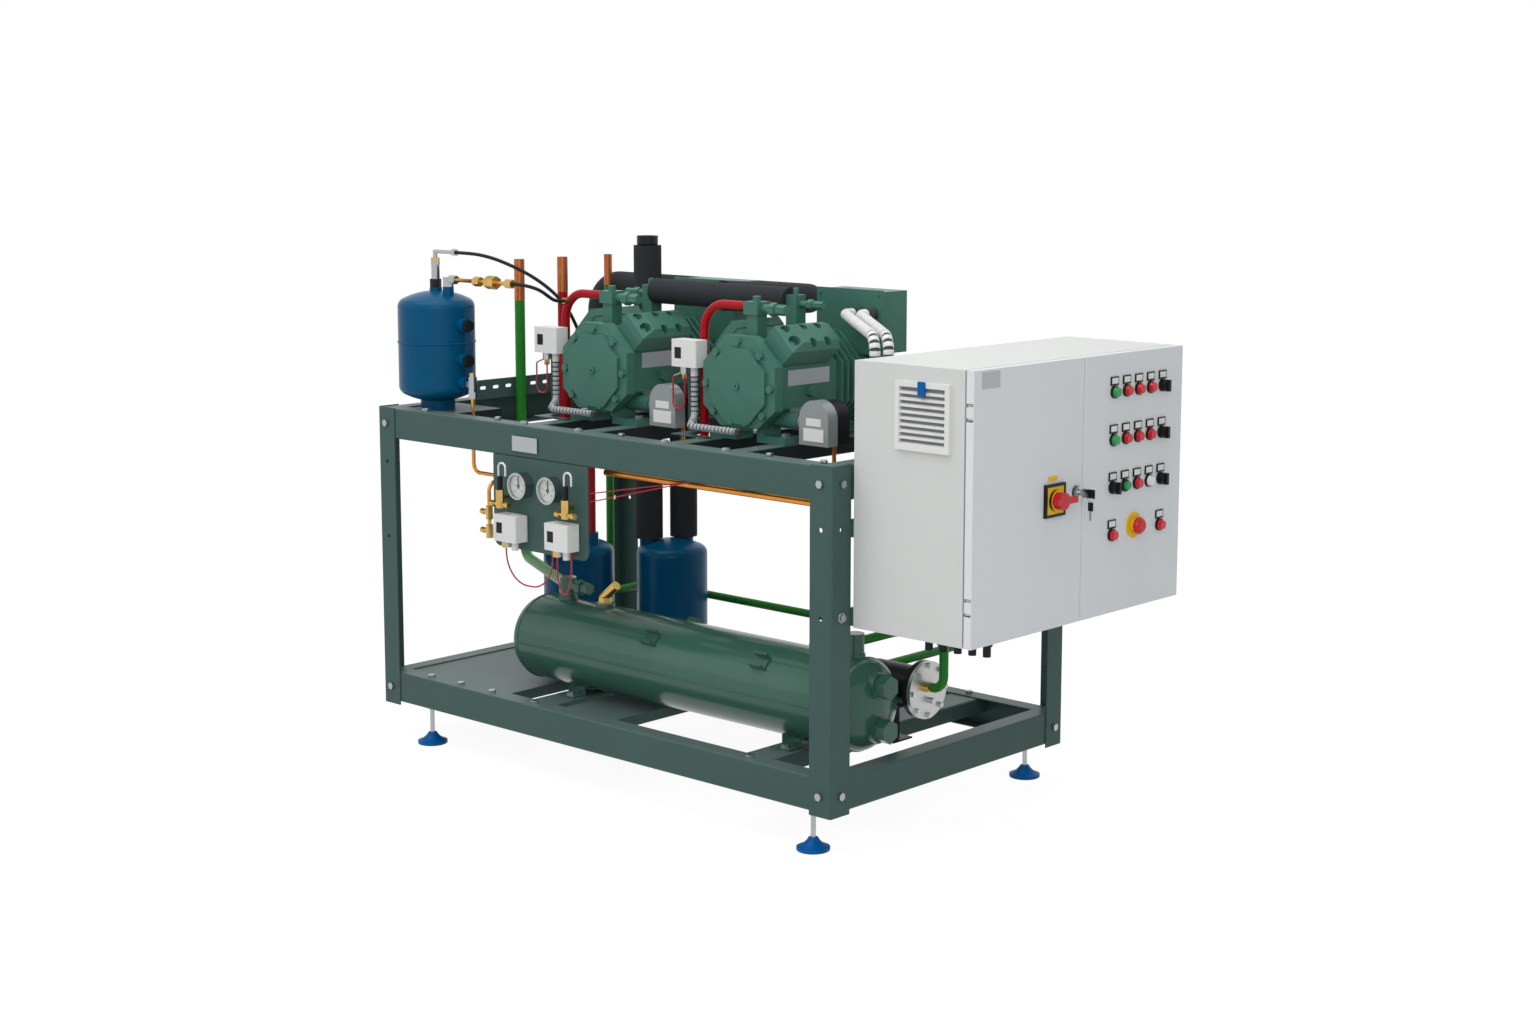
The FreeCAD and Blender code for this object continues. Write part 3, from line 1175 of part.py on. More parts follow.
def cylinder_head(tag, centre, side):
    """A cast head with a long bevel at its front and recessed bolts, on the bank's top face."""
    turn = FreeCAD.Rotation(FreeCAD.Vector(0, 1, 0), side * s.bank_angle.value)
    name = f"head_{tag}_{'left' if side < 0 else 'right'}"
    thing = body(name, centre, bank_start_line(side), hub_height, turn)
    half = s.bank_width / 2 + s.head_overhang
    end = s.head_overhang
    length = s.bank_length
    side_view = sketch(thing, "YZ_Plane", name + "_side")
    low, high = s.bank_reach, s.bank_reach + s.head_height
    shoulder = low + s.head_height * 0.65
    loop(side_view, [(-end, low), (length + end, low), (length + end, high),
                     (s.head_slope - end, high), (-end, shoulder)])
    pad_across = pad(thing, side_view, half * 2)
    pad_across.Midplane = True
    for number, edge in enumerate((-1, 1)):
        bevel = sketch(thing, "XZ_Plane", f"{name}_bevel_{number}", s.head_overhang + 1)
        inner = s.head_top_width / 2
        loop(bevel, [(edge * (half + 1), high + 1), (edge * inner, high + 1), (edge * inner, high),
                     (edge * half, shoulder), (edge * (half + 1), shoulder)])
        pocket(thing, bevel, length + 2 * end + 2)
    wells = sketch(thing, "XY_Plane", name + "_wells", high + 1)
    bolts = sketch(thing, "XY_Plane", name + "_bolts", low)
    for edge in (-1, 1):
        places = [(s.head_bolt_line, s.head_bolt_first + s.head_bolt_rows, s.head_bolt_recess),
                  (s.head_bolt_line, s.head_bolt_first + s.head_bolt_rows + s.head_bolt_pitch,
                   s.head_bolt_recess)]
        if edge == side:
            places.append((s.first_bolt_line, s.head_bolt_first, s.first_recess))
        else:
            places.append((s.head_bolt_line + end, s.head_bolt_first - end, s.head_bolt_recess))
        for across, along, recess in places:
            ring(wells, edge * across, along, recess)
            ring(bolts, edge * across, along, s.head_bolt)
    pocket(thing, wells, s.head_height * 0.6 + 1)
    pad(thing, bolts, s.head_height * 0.4 + s.head_bolt * 0.6)
    return thing


def bank_start_line(side):
    """The front of a bank; the left one stands further back than the right one."""
    return bank_front + s.bank_stagger if side < 0 else bank_front


bank_front = s.compressor_front + s.bank_setback
oil_boss_end = s.flange_half_width - s.case_inset + s.oil_boss_length
case_front = s.compressor_front + s.cover_plate
barrel_front = case_front + s.case_flange + s.case_length
barrel_back = barrel_front + s.barrel_length
rotor_front = barrel_front + s.rotor_offset
discharge_pad = hub_height + s.flange_above + s.port_pad


def crankcase(tag, centre):
    """The cast housing: flange, octagon case, two banks, ribbed motor barrel, and feet. It is
    hollow for the crankshaft, and its rear wall and front boss carry the shaft."""
    thing = body("case_" + tag, centre, case_front, hub_height)
    flange = sketch(thing, "XZ_Plane", f"case_{tag}_flange")
    loop(flange, flange_corners(as_size(0)))
    pad(thing, flange, s.case_flange, back=True)
    case = sketch(thing, "XZ_Plane", f"case_{tag}_case")
    loop(case, flange_corners(s.case_inset))
    pad(thing, case, s.case_flange + s.case_length, back=True)
    length = barrel_back - case_front
    barrel = sketch(thing, "XZ_Plane", f"case_{tag}_barrel")
    ring(barrel, 0, 0, s.barrel_diameter)
    pad(thing, barrel, length, back=True)
    fin = sketch(thing, "XZ_Plane", f"case_{tag}_fin", -(barrel_front - case_front
                                                        + s.fin_thickness))
    loop(fin, octagon(s.barrel_diameter + 2 * s.fin_rise))
    first = pad(thing, fin, s.fin_thickness, back=True)
    row_of(thing, first, "Y_Axis", (s.fin_count - 1) * s.fin_pitch, s.fin_count,
           f"case_{tag}_fins")
    banks = [cylinder_bank(tag, centre, side) for side in (-1, 1)]
    feet = []
    for side in (-1, 1):
        for row_number, line in enumerate(foot_bolt_lines):
            x = centre + side * s.bearer_pitch / 2 - s.foot_width / 2
            y = line - s.foot_length / 2
            name = f"case_{tag}_foot_{side}_{row_number}"
            feet.append(block(name, s.foot_width, s.foot_length, s.foot_thickness, x, y,
                              deck_height))
            rise = s.crank_height - s.flange_below + s.case_inset + 12 - s.foot_thickness
            inner = centre + side * (s.flange_bottom_half - 16) - s.leg_width / 2
            feet.append(block(name + "_leg", s.leg_width, s.foot_length, rise, inner, y,
                              deck_height + s.foot_thickness))
            bridge = s.bearer_pitch / 2 - s.flange_bottom_half + 16
            feet.append(block(name + "_bridge", bridge + s.leg_width / 2, s.foot_length,
                              s.foot_thickness,
                              inner if side > 0 else centre - s.bearer_pitch / 2, y,
                              deck_height))
    pads = []
    for name, line in (("discharge", s.discharge_y), ("suction", s.suction_y)):
        low = hub_height + s.flange_above * 0.6
        pads.append(block(f"case_{tag}_{name}_pad", s.port_width, s.port_width,
                          discharge_pad - low, centre - s.port_width / 2,
                          s.compressor_front + line - s.port_width / 2, low))
    pads.append(rod(f"case_{tag}_oil_boss", s.oil_boss, oil_boss_end - s.flange_bottom_half,
                    centre + s.flange_bottom_half,
                    s.compressor_front + s.regulator_y + s.oil_boss_y,
                    deck_height + s.oil_boss_height, "x"))
    pads.append(hexagon(f"case_{tag}_plug", s.plug_across / 2, s.plug_length / 2 + 4,
                        centre + s.flange_half_width - s.case_inset - 4,
                        s.compressor_front + s.case_plug_y, hub_height - s.case_plug_drop, "x"))
    solid = fuse(f"case_{tag}_casting", [thing] + banks + feet + pads)
    cavity = rod(f"case_{tag}_crank_space", s.case_cavity,
                 s.case_flange + s.case_length - s.bearing_wall, centre, case_front, hub_height,
                 "y")
    bearing = rod(f"case_{tag}_bearing", s.shaft_diameter + 2 * s.running_clearance,
                  s.bearing_wall + 2, centre, barrel_front - s.bearing_wall - 1, hub_height, "y")
    motor = rod(f"case_{tag}_motor_space", motor_space, s.barrel_length - s.rear_cover, centre,
                barrel_front, hub_height, "y")
    holes = [rod(f"case_{tag}_foot_hole_{number}_{row_number}", s.post_hole,
                 s.foot_thickness + 2, x, line, deck_height - 1)
             for number, x in enumerate((centre - s.bearer_pitch / 2,
                                         centre + s.bearer_pitch / 2))
             for row_number, line in enumerate(foot_bolt_lines)]
    clear = s.terminal_clearance
    seat = block(f"case_{tag}_terminal_seat", s.terminal_width + 2 * clear,
                 s.terminal_depth + clear, s.terminal_height,
                 centre - s.terminal_offset - clear, s.compressor_front + s.terminal_y,
                 deck_height + s.terminal_low)
    lid_room = s.lid_depth + s.lid_screw + clear
    lid_seat = block(f"case_{tag}_lid_seat", s.terminal_width + 2 * (s.lid_margin + clear),
                     lid_room, s.terminal_height,
                     centre - s.terminal_offset - s.lid_margin - clear,
                     s.compressor_front + s.terminal_y - lid_room,
                     deck_height + s.terminal_low - s.lid_margin - clear)
    return cut("crankcase_" + tag, solid, [cavity, bearing, motor, seat, lid_seat] + holes)


motor_space = s.rotor_diameter + 2 * s.rotor_gap + 2 * s.stator_wall


def rotating_parts(tag, centre):
    """Crankshaft with its webs and pins, and the motor rotor on its rear end."""
    start = case_front + s.shaft_float
    thing = body("shaft_" + tag, centre, start, hub_height)
    shaft = sketch(thing, "XZ_Plane", f"shaft_{tag}_bar")
    ring(shaft, 0, 0, s.shaft_diameter)
    end = barrel_back - s.rear_cover - s.shaft_float - start
    pad(thing, shaft, end, back=True)
    throw = s.crank_throw
    for number, turned in enumerate((0, 1)):
        offset = throw if turned == 0 else -throw
        for web_number in range(2):
            at = s.web_start + number * s.throw_pitch + web_number * s.web_pitch
            web = sketch(thing, "XZ_Plane", f"shaft_{tag}_web_{number}_{web_number}", -at)
            ring(web, 0, offset / 3, s.web_diameter)
            pad(thing, web, s.web_thickness, back=True)
        pin = sketch(thing, "XZ_Plane", f"shaft_{tag}_pin_{number}",
                     -(s.web_start + number * s.throw_pitch))
        ring(pin, 0, offset, s.shaft_diameter)
        pad(thing, pin, s.web_pitch, back=True)
    rotor = sketch(thing, "XZ_Plane", f"shaft_{tag}_rotor", -(rotor_front - start))
    ring(rotor, 0, 0, s.rotor_diameter)
    pad(thing, rotor, s.rotor_length, back=True)
    return node(thing, "rotor_" + tag)


def stator(tag, centre):
    thing = body("stator_" + tag, centre, rotor_front - s.stator_overhang, hub_height)
    profile = sketch(thing, "XZ_Plane", f"stator_{tag}_ring")
    ring(profile, 0, 0, motor_space - 2 * s.running_clearance)
    ring(profile, 0, 0, s.rotor_diameter + 2 * s.rotor_gap)
    pad(thing, profile, s.rotor_length + 2 * s.stator_overhang, back=True)
    return thing


def service_valve(name, x, y, z, height, width, along, reach):
    """A shut-off valve: a square body on its pad, and a capped spindle along one direction."""
    base = block(name + "_block", width, width, height, x - width / 2, y - width / 2, z)
    cap = rod(name + "_cap", width * 0.42, height * 0.5, x, y, z + height * 0.9)
    middle = moved((as_size(x), as_size(y), z + height * 0.45), along, width / 2 - 2)
    neck = rod(name + "_neck", width * 0.5, reach * 0.4 + 2, *middle, along)
    gland = hexagon(name + "_gland", width * 0.66, reach * 0.2,
                    *moved(middle, along, reach * 0.3), along)
    end = hexagon(name + "_end", width * 0.5, reach * 0.45,
                  *moved(middle, along, reach * 0.4), along)
    return fuse(name, [base, cap, neck, gland, end])


def terminal_box(tag, centre):
    """The sheet box for the motor's terminals with its screwed lid."""
    name = "terminal_box_" + tag
    thing = body(name, centre - s.terminal_offset, s.compressor_front + s.terminal_y,
                 deck_height + s.terminal_low)
    outline = sketch(thing, "XY_Plane", name + "_base")
    rectangle(outline, 0, 0, s.terminal_width, s.terminal_depth)
    pad(thing, outline, s.terminal_height)
    soften(thing, 5, upright)
    lid = sketch(thing, "XZ_Plane", name + "_lid")
    margin = s.lid_margin
    rectangle(lid, -margin, -margin, s.terminal_width + margin, s.terminal_height + margin)
    pad(thing, lid, s.lid_depth)
    screws = sketch(thing, "XZ_Plane", name + "_screws", s.lid_depth)
    for x in (margin * 2, s.terminal_width - margin * 2):
        for z in (margin * 2, s.terminal_height - margin * 2):
            ring(screws, x, z, 8)
    pad(thing, screws, s.lid_screw)
    return thing


def oil_regulator(tag, centre):
    """The crankcase oil level regulator: clear arched window, black body, mounting stub."""
    name = "oil_regulator_" + tag
    front = s.compressor_front + s.regulator_y
    low = deck_height + s.regulator_lift
    thing = body(name, centre + s.regulator_x, front, low)
    arch = s.regulator_width / 2
    shapes = []
    for part_name, inset, start, depth in (("window", as_size(0), as_size(0), s.window_depth),
                                           ("body", as_size(3), s.window_depth,
                                            s.regulator_body_depth)):
        outline = sketch(thing, "XZ_Plane", f"{name}_{part_name}", -start)
        springing = s.regulator_height - arch
        loop(outline, [(inset, inset), (s.regulator_width - inset, inset),
                       (s.regulator_width - inset, springing),
                       (arch, s.regulator_height - inset, arch - inset),
                       (inset, springing, arch - inset)])
        shapes.append(pad(thing, outline, depth, back=True))
    stub_from = centre + oil_boss_end
    stub = rod(name + "_stub", s.oil_boss * 0.8, centre + s.regulator_x + 5 - stub_from,
               stub_from, front + s.oil_boss_y, deck_height + s.oil_boss_height, "x")
    return fuse(name + "_assembly", [thing, stub])


def make_compressors():
    heads, valves, boxes, covers, regulators, stators = [], [], [], [], [], []
    for tag, centre, mirror in (("left", compressor_centres[0], "-x"),
                                ("right", compressor_centres[1], "x")):
        node(crankcase(tag, centre), "crankcase_" + tag)
        rotating_parts(tag, centre)
        stators.append(stator(tag, centre))
        covers.append(end_cover(tag, centre))
        heads += [cylinder_head(tag, centre, side) for side in (-1, 1)]
        front = s.compressor_front
        valves.append(service_valve("discharge_valve_" + tag, centre, front + s.discharge_y,
                                    discharge_pad, s.discharge_valve_height,
                                    s.discharge_valve_width, "x", s.valve_spindle))
        valves.append(service_valve("suction_valve_" + tag, centre, front + s.suction_y,
                                    discharge_pad, s.suction_valve_height,
                                    s.suction_valve_width, mirror, s.valve_spindle))
        boxes.append(terminal_box(tag, centre))
        regulators.append(oil_regulator(tag, centre))
    for name, parts in (("cylinder_heads", heads), ("service_valves", valves),
                        ("terminal_boxes", boxes), ("end_covers", covers),
                        ("oil_regulators", regulators), ("stators", stators)):
        node(group(name, parts), name)


# Control cabinet
cabinet_back = rack_right + s.cabinet_standoff
cabinet_front = cabinet_back + s.cabinet_depth
door_back = cabinet_front + s.door_gap
door_face = door_back + s.door_depth
cabinet_right = s.cabinet_side + s.cabinet_width
door_width = (s.cabinet_width - s.door_seam) / 2
hinge_line = door_face - s.hinge_back
hinge_heights = [s.hinge_from_end, s.cabinet_height - s.hinge_from_end]
cabinet_bolt_places = [(y, height) for height in spare_holes
                       for y in (s.cabinet_side + s.bracket_bolt_inset,
                                 cabinet_right - s.bracket_bolt_inset)]


def make_cabinet_shell():
    """The folded case: closed back and sides, a lip round the open front, a fan opening."""
    thing = body("cabinet_shell", cabinet_back, s.cabinet_side, s.cabinet_low)
    gauge = s.cabinet_sheet
    outside = sketch(thing, "YZ_Plane", "cabinet_outside")
    rectangle(outside, 0, 0, s.cabinet_width, s.cabinet_height)
    pad(thing, outside, s.cabinet_depth)
    inside = sketch(thing, "YZ_Plane", "cabinet_inside", gauge)
    rectangle(inside, gauge, gauge, s.cabinet_width - gauge, s.cabinet_height - gauge)
    pocket(thing, inside, s.cabinet_depth - 2 * gauge, back=True)
    mouth = sketch(thing, "YZ_Plane", "cabinet_mouth", s.cabinet_depth)
    lip = s.frame_lip
    rectangle(mouth, lip, lip, s.cabinet_width - lip, s.cabinet_height - lip)
    pocket(thing, mouth, gauge * 2)
    fan = sketch(thing, "XZ_Plane", "cabinet_fan_opening")
    ring(fan, s.grille_x, s.grille_z, s.fan_opening)
    pocket(thing, fan, gauge * 2)
    bolts = sketch(thing, "YZ_Plane", "cabinet_bolt_holes")
    for y, height in cabinet_bolt_places:
        ring(bolts, y - s.cabinet_side, height - s.cabinet_low, s.post_hole)
    pocket(thing, bolts, gauge * 2, back=True)
    node(thing, "cabinet_shell")


def make_cabinet_brackets():
    """Two bars across the right-hand posts that the cabinet is bolted to."""
    bars = []
    gauge = s.rail_sheet
    for number, height in enumerate(spare_holes):
        name = f"cabinet_bar_{number}"
        low = height - s.bar_width / 2
        strip = block(name + "_strip", gauge, rack_back - 2 * inner_front, s.bar_width,
                      rack_right - s.post_sheet - gauge, inner_front, low)
        clear = s.post_flange + s.cope_clearance
        packer = block(name + "_packer", s.post_sheet + s.cabinet_standoff,
                       rack_back - 2 * clear, s.bar_width, rack_right - s.post_sheet, clear, low)
        holes = [rod(f"{name}_hole_{count}", s.post_hole,
                     gauge * 2 + s.post_sheet + s.cabinet_standoff,
                     rack_right - s.post_sheet - gauge * 1.5, y, height, "x")
                 for count, y in enumerate((s.post_bolt_line, rack_back - s.post_bolt_line,
                                            s.cabinet_side + s.bracket_bolt_inset,
                                            cabinet_right - s.bracket_bolt_inset))]
        bars.append(cut(name, fuse(name + "_solid", [strip, packer]), holes))
    node(group("cabinet_brackets", bars), "cabinet_brackets")


def door(name, left, hinge_left):
    """A folded tray door with two hinge knuckles inside its edge. Its side return is notched
    where it swings past the hinge arms."""
    thing = body(name, door_back, left, s.cabinet_low)
    gauge = s.door_sheet
    high = s.cabinet_height
    outside = sketch(thing, "YZ_Plane", name + "_outside")
    rectangle(outside, 0, 0, door_width, high)
    pad(thing, outside, s.door_depth)
    inside = sketch(thing, "YZ_Plane", name + "_inside")
    rectangle(inside, gauge, gauge, door_width - gauge, high - gauge)
    pocket(thing, inside, s.door_depth - gauge, back=True)
    edge = as_size(0) if hinge_left else door_width - gauge
    pin = s.hinge_inset if hinge_left else door_width - s.hinge_inset
    half = s.knuckle_across / 2
    pin_back = s.door_depth - s.hinge_back
    for number, height in enumerate(hinge_heights):
        knuckle = sketch(thing, "XY_Plane", f"{name}_knuckle_{number}",
                         height - s.hinge_height / 2)
        rectangle(knuckle, pin_back - half, pin - half, s.door_depth - gauge / 2, pin + half)
        ring(knuckle, pin_back, pin, s.hinge_pin + 2 * s.running_clearance)
        pad(thing, knuckle, s.hinge_height)
    notches = sketch(thing, "XZ_Plane", name + "_notches", -edge)
    for height in hinge_heights:
        for side in (-1, 1):
            middle = height + side * (s.hinge_height / 2 + s.hinge_gap + s.arm_thickness / 2)
            rectangle(notches, 0, middle - s.arm_thickness, s.door_depth - gauge,
                      middle + s.arm_thickness)
    pocket(thing, notches, gauge)
    return thing


def make_doors():
    left = door("door_left", s.cabinet_side, True)
    right = door("door_right", s.cabinet_side + door_width + s.door_seam, False)
    node(left, "door_left")
    node(right, "door_right")
    hinges = []
    for side, pin_y in (("left", s.cabinet_side + s.hinge_inset),
                        ("right", cabinet_right - s.hinge_inset)):
        for number, height in enumerate(hinge_heights):
            name = f"hinge_{side}_{number}"
            middle = s.cabinet_low + height
            reach = s.hinge_height / 2 + s.hinge_gap
            low = middle - reach - s.arm_thickness
            pin = rod(name + "_pin", s.hinge_pin, 2 * (reach + s.arm_thickness), hinge_line,
                      pin_y, low)
            arms = [block(f"{name}_arm_{count}", hinge_line + s.hinge_pin / 2 - cabinet_front,
                          s.hinge_pin + 1, s.arm_thickness, cabinet_front,
                          pin_y - s.hinge_pin / 2 - 0.5, z)
                    for count, z in enumerate((low, middle + reach))]
            hinges.append(fuse(name, [pin] + arms))
    node(group("hinge_pins", hinges), "hinge_pins")


def make_switchgear():
    """The mounting plate inside the cabinet with two rows of contactors on rails."""
    inset = s.mounting_plate_inset
    back = cabinet_back + s.mounting_plate_back
    left = s.cabinet_side + inset
    low = s.cabinet_low + inset
    parts = [block("mounting_plate", s.mounting_plate_gauge, s.cabinet_width - 2 * inset,
                   s.cabinet_height - 2 * inset, back, left, low)]
    for number, (side, z) in enumerate((side, z) for side in (0, 1) for z in (0, 1)):
        y = left + 20 + side * (s.cabinet_width - 2 * inset - 40)
        height = low + 60 + z * (s.cabinet_height - 2 * inset - 120)
        parts.append(rod(f"plate_standoff_{number}", 12,
                         s.mounting_plate_back - s.cabinet_sheet, cabinet_back
                         + s.cabinet_sheet, y, height, "x"))
    face = back + s.mounting_plate_gauge
    for row_number, share in enumerate((0.27, 0.68)):
        height = s.cabinet_low + s.cabinet_height * share
        for number in range(int(s.contactor_count.value)):
            name = f"contactor_{row_number}_{number}"
            y = left + 60 + number * s.contactor_pitch
            base = block(name + "_base", s.contactor_depth * 0.6, s.contactor_width,
                         s.contactor_height, face, y, height - s.contactor_height / 2)
            nose = block(name + "_nose", s.contactor_depth, s.contactor_width,
                         s.contactor_height * 0.55, face, y,
                         height - s.contactor_height * 0.275)
            parts.append(fuse(name, [base, nose]))
    node(group("switchgear", parts), "switchgear")


def make_grille():
    """The filter fan's grille on the cabinet's front side: a frame with sloped slats."""
    half = s.grille_size / 2
    thing = body("vent_grille", cabinet_back + s.grille_x, s.cabinet_side,
                 s.cabinet_low + s.grille_z)
    frame = sketch(thing, "XZ_Plane", "grille_frame")
    rectangle(frame, -half, -half, half, half)
    inner = half - s.grille_rim
    rectangle(frame, -inner, -inner, inner, inner)
    pad(thing, frame, s.grille_depth)
    pitch = 2 * inner / s.slat_count
    slat = sketch(thing, "YZ_Plane", "grille_slat", -inner)
    drop = s.slat_slope
    low = -inner - s.slat_depth / 2
    loop(slat, [(-s.grille_depth + 1, low), (-s.grille_depth + 1, low + s.slat_depth),
                (0, low + s.slat_depth + drop), (0, low + drop)])
    first = pad(thing, slat, 2 * inner)
    row_of(thing, first, "Z_Axis", (s.slat_count - 1) * pitch, s.slat_count, "grille_slats")
    node(thing, "vent_grille")


device_first = s.cabinet_side + door_width + s.door_seam + s.device_inset


def device_place(column, row_number):
    """Where a device of that column and row sits on the right-hand door."""
    return (device_first + column * s.device_column,
            s.cabinet_low + s.device_top - row_number * s.device_row)


LAMPS = [(0, 0), (1, 0), (2, 0), (3, 0), (0, 1), (1, 1), (2, 1), (3, 1), (2, 2), (3, 2),
         (0, 3), (4, 3)]
SELECTORS = [(4, 0), (4, 1), (0, 2), (4, 2)]
START = (1, 2)


def bezel(name, y, z, bore=None):
    """The ring that clamps a device to the door."""
    outer = rod(name, s.bezel_diameter, s.bezel_depth, door_face, y, z, "x")
    if bore is None:
        return outer
    return cut(name + "_ring", outer, [rod(name + "_bore", bore, s.bezel_depth + 2,
                                           door_face - 1, y, z, "x")])


def make_pilot_lights():
    devices = []
    for number, place_on_door in enumerate(LAMPS):
        y, z = device_place(*place_on_door)
        name = f"lamp_{number}"
        lens = cone(name + "_lens", s.lamp_diameter, s.lamp_diameter * 0.8, s.lamp_depth,
                    door_face + s.bezel_depth, y, z, "x")
        devices.append(fuse(name, [bezel(name + "_bezel", y, z), lens]))
    for number, place_on_door in enumerate(SELECTORS):
        y, z = device_place(*place_on_door)
        devices.append(bezel(f"selector_bezel_{number}", y, z))
    y, z = device_place(*START)
    devices.append(bezel("start_bezel", y, z, s.button_diameter + 4 * s.running_clearance))
    node(group("pilot_lights", devices), "pilot_lights")


def make_legends():
    """A legend plate above each device, and the emergency stop's disc and collar."""
    plates = []
    for number, place_on_door in enumerate(LAMPS + SELECTORS + [START]):
        y, z = device_place(*place_on_door)
        plates.append(block(f"legend_{number}", s.legend_depth, s.legend_width,
                            s.legend_height, door_face, y - s.legend_width / 2,
                            z + s.bezel_diameter / 2 + 0.5))
    y, z = estop_place
    disc = rod("estop_disc", s.estop_plate, s.legend_depth, door_face, y, z, "x")
    collar = rod("estop_collar_outer", s.estop_collar, s.bezel_depth + s.legend_depth,
                 door_face, y, z, "x")
    bore = rod("estop_bore", s.plunger_diameter + 4 * s.running_clearance,
               s.bezel_depth + s.legend_depth + 2, door_face - 1, y, z, "x")
    plates.append(cut("estop_collar", fuse("estop_ring", [disc, collar]), [bore]))
    node(group("legend_plates", plates), "legend_plates")


estop_place = (device_first + 2 * s.device_column - s.estop_shift,
               s.cabinet_low + s.device_top - 3 * s.device_row + s.estop_rise)


def make_controls():
    """The selector knobs, the start button and the emergency stop."""
    for number, place_on_door in enumerate(SELECTORS, start=1):
        y, z = device_place(*place_on_door)
        name = f"selector_{number}"
        start = door_face + s.bezel_depth + s.running_clearance
        disc = rod(name + "_disc", s.knob_diameter, s.knob_depth, start, y, z, "x")
        bar = block(name + "_bar", s.knob_bar_depth, s.knob_bar, s.knob_diameter + 2,
                    start + s.knob_depth * 0.5, y - s.knob_bar / 2,
                    z - s.knob_diameter / 2 - 1)
        node(fuse(name, [disc, bar]), name)
    y, z = device_place(*START)
    node(rod("start_button", s.button_diameter, s.bezel_depth + s.button_proud
             - s.button_travel - 1, door_face + s.button_travel + 1, y, z, "x"), "start_button")
    y, z = estop_place
    stem_start = door_face + s.estop_travel + 1
    head_start = door_face + s.bezel_depth + s.legend_depth + s.estop_travel + 1
    head = body("estop_mushroom", head_start, y, z)
    profile = sketch(head, "XZ_Plane", "estop_profile")
    half = s.estop_diameter / 2
    loop(profile, [(0, 0), (0, half), (s.estop_depth * 0.4, half),
                   (s.estop_depth, half * 0.6, -half), (s.estop_depth, 0)])
    revolve(head, profile, "H_Axis")
    stem = rod("estop_stem", s.plunger_diameter, head_start - stem_start + 1, stem_start, y, z,
               "x")
    node(fuse("estop_button", [head, stem]), "estop_button")


def make_main_switch():
    """The main switch on the left-hand door: its plate, its turning handle and the key."""
    y = s.cabinet_side + s.main_switch_y
    z = s.cabinet_low + s.main_switch_z
    half = s.switch_plate_size / 2
    plate = block("main_switch_plate", s.switch_plate_depth, s.switch_plate_size,
                  s.switch_plate_size, door_face, y - half, z - half)
    front = door_face + s.switch_plate_depth
    collar = rod("main_switch_collar", s.handle_diameter, s.switch_plate_depth, front, y, z, "x")
    lock_y = s.cabinet_side + s.lock_y
    lock_z = s.cabinet_low + s.lock_z
    barrel = rod("lock_barrel", s.lock_plate, s.lock_depth, door_face, lock_y, lock_z, "x")
    node(group("switch_plate", [fuse("main_switch_base", [plate, collar]), barrel]),
         "switch_plate")
    start = front + s.switch_plate_depth + s.running_clearance
    hub = rod("handle_hub", s.handle_diameter * 0.8, s.handle_depth, start, y, z, "x")
    bar = block("handle_bar", s.handle_bar, s.handle_length, s.handle_bar * 1.2,
                start + s.handle_depth - s.handle_bar, y - s.handle_length * 0.35,
                z - s.handle_bar * 0.6)
    node(fuse("switch_handle", [hub, bar]), "switch_handle")
    start = door_face + s.lock_depth + s.running_clearance
    core = rod("key_core", s.lock_diameter * 0.7, s.lock_depth * 0.5, start, lock_y, lock_z, "x")
    bow = block("key_bow", s.key_length, 3, s.lock_diameter, start + s.lock_depth * 0.5 - 1,
                lock_y - 1.5, lock_z - s.lock_diameter / 2)
    node(fuse("lock_key", [core, bow]), "lock_key")


# Gauge panel
panel_top = high_rail_bottom
gauge_height = panel_top - s.gauge_drop
gauge_places = [s.panel_left + s.gauge_left, s.panel_left + s.gauge_left + s.gauge_pitch]
panel_face = s.post_sheet


def make_gauge_panel():
    """The sheet that hangs under the top front rail, with a folded top and rounded corners."""
    thing = body("gauge_panel", s.panel_left, panel_face, panel_top - s.panel_drop)
    gauge = s.panel_sheet
    corner = s.panel_corner
    plate = sketch(thing, "XZ_Plane", "panel_plate")
    loop(plate, [(corner, 0, corner), (s.panel_width - corner, 0),
                 (s.panel_width, corner, corner), (s.panel_width, s.panel_drop),
                 (0, s.panel_drop), (0, corner)])
    pad(thing, plate, gauge, back=True)
    fold = sketch(thing, "YZ_Plane", "panel_fold")
    rectangle(fold, gauge, s.panel_drop - gauge, s.panel_return, s.panel_drop)
    pad(thing, fold, s.panel_width)
    holes = sketch(thing, "XZ_Plane", "panel_gauge_holes")
    for x in gauge_places:
        ring(holes, x - s.panel_left, s.panel_drop - s.gauge_drop, s.gauge_stem + 2)
    pocket(thing, holes, gauge * 2)
    node(thing, "gauge_panel")


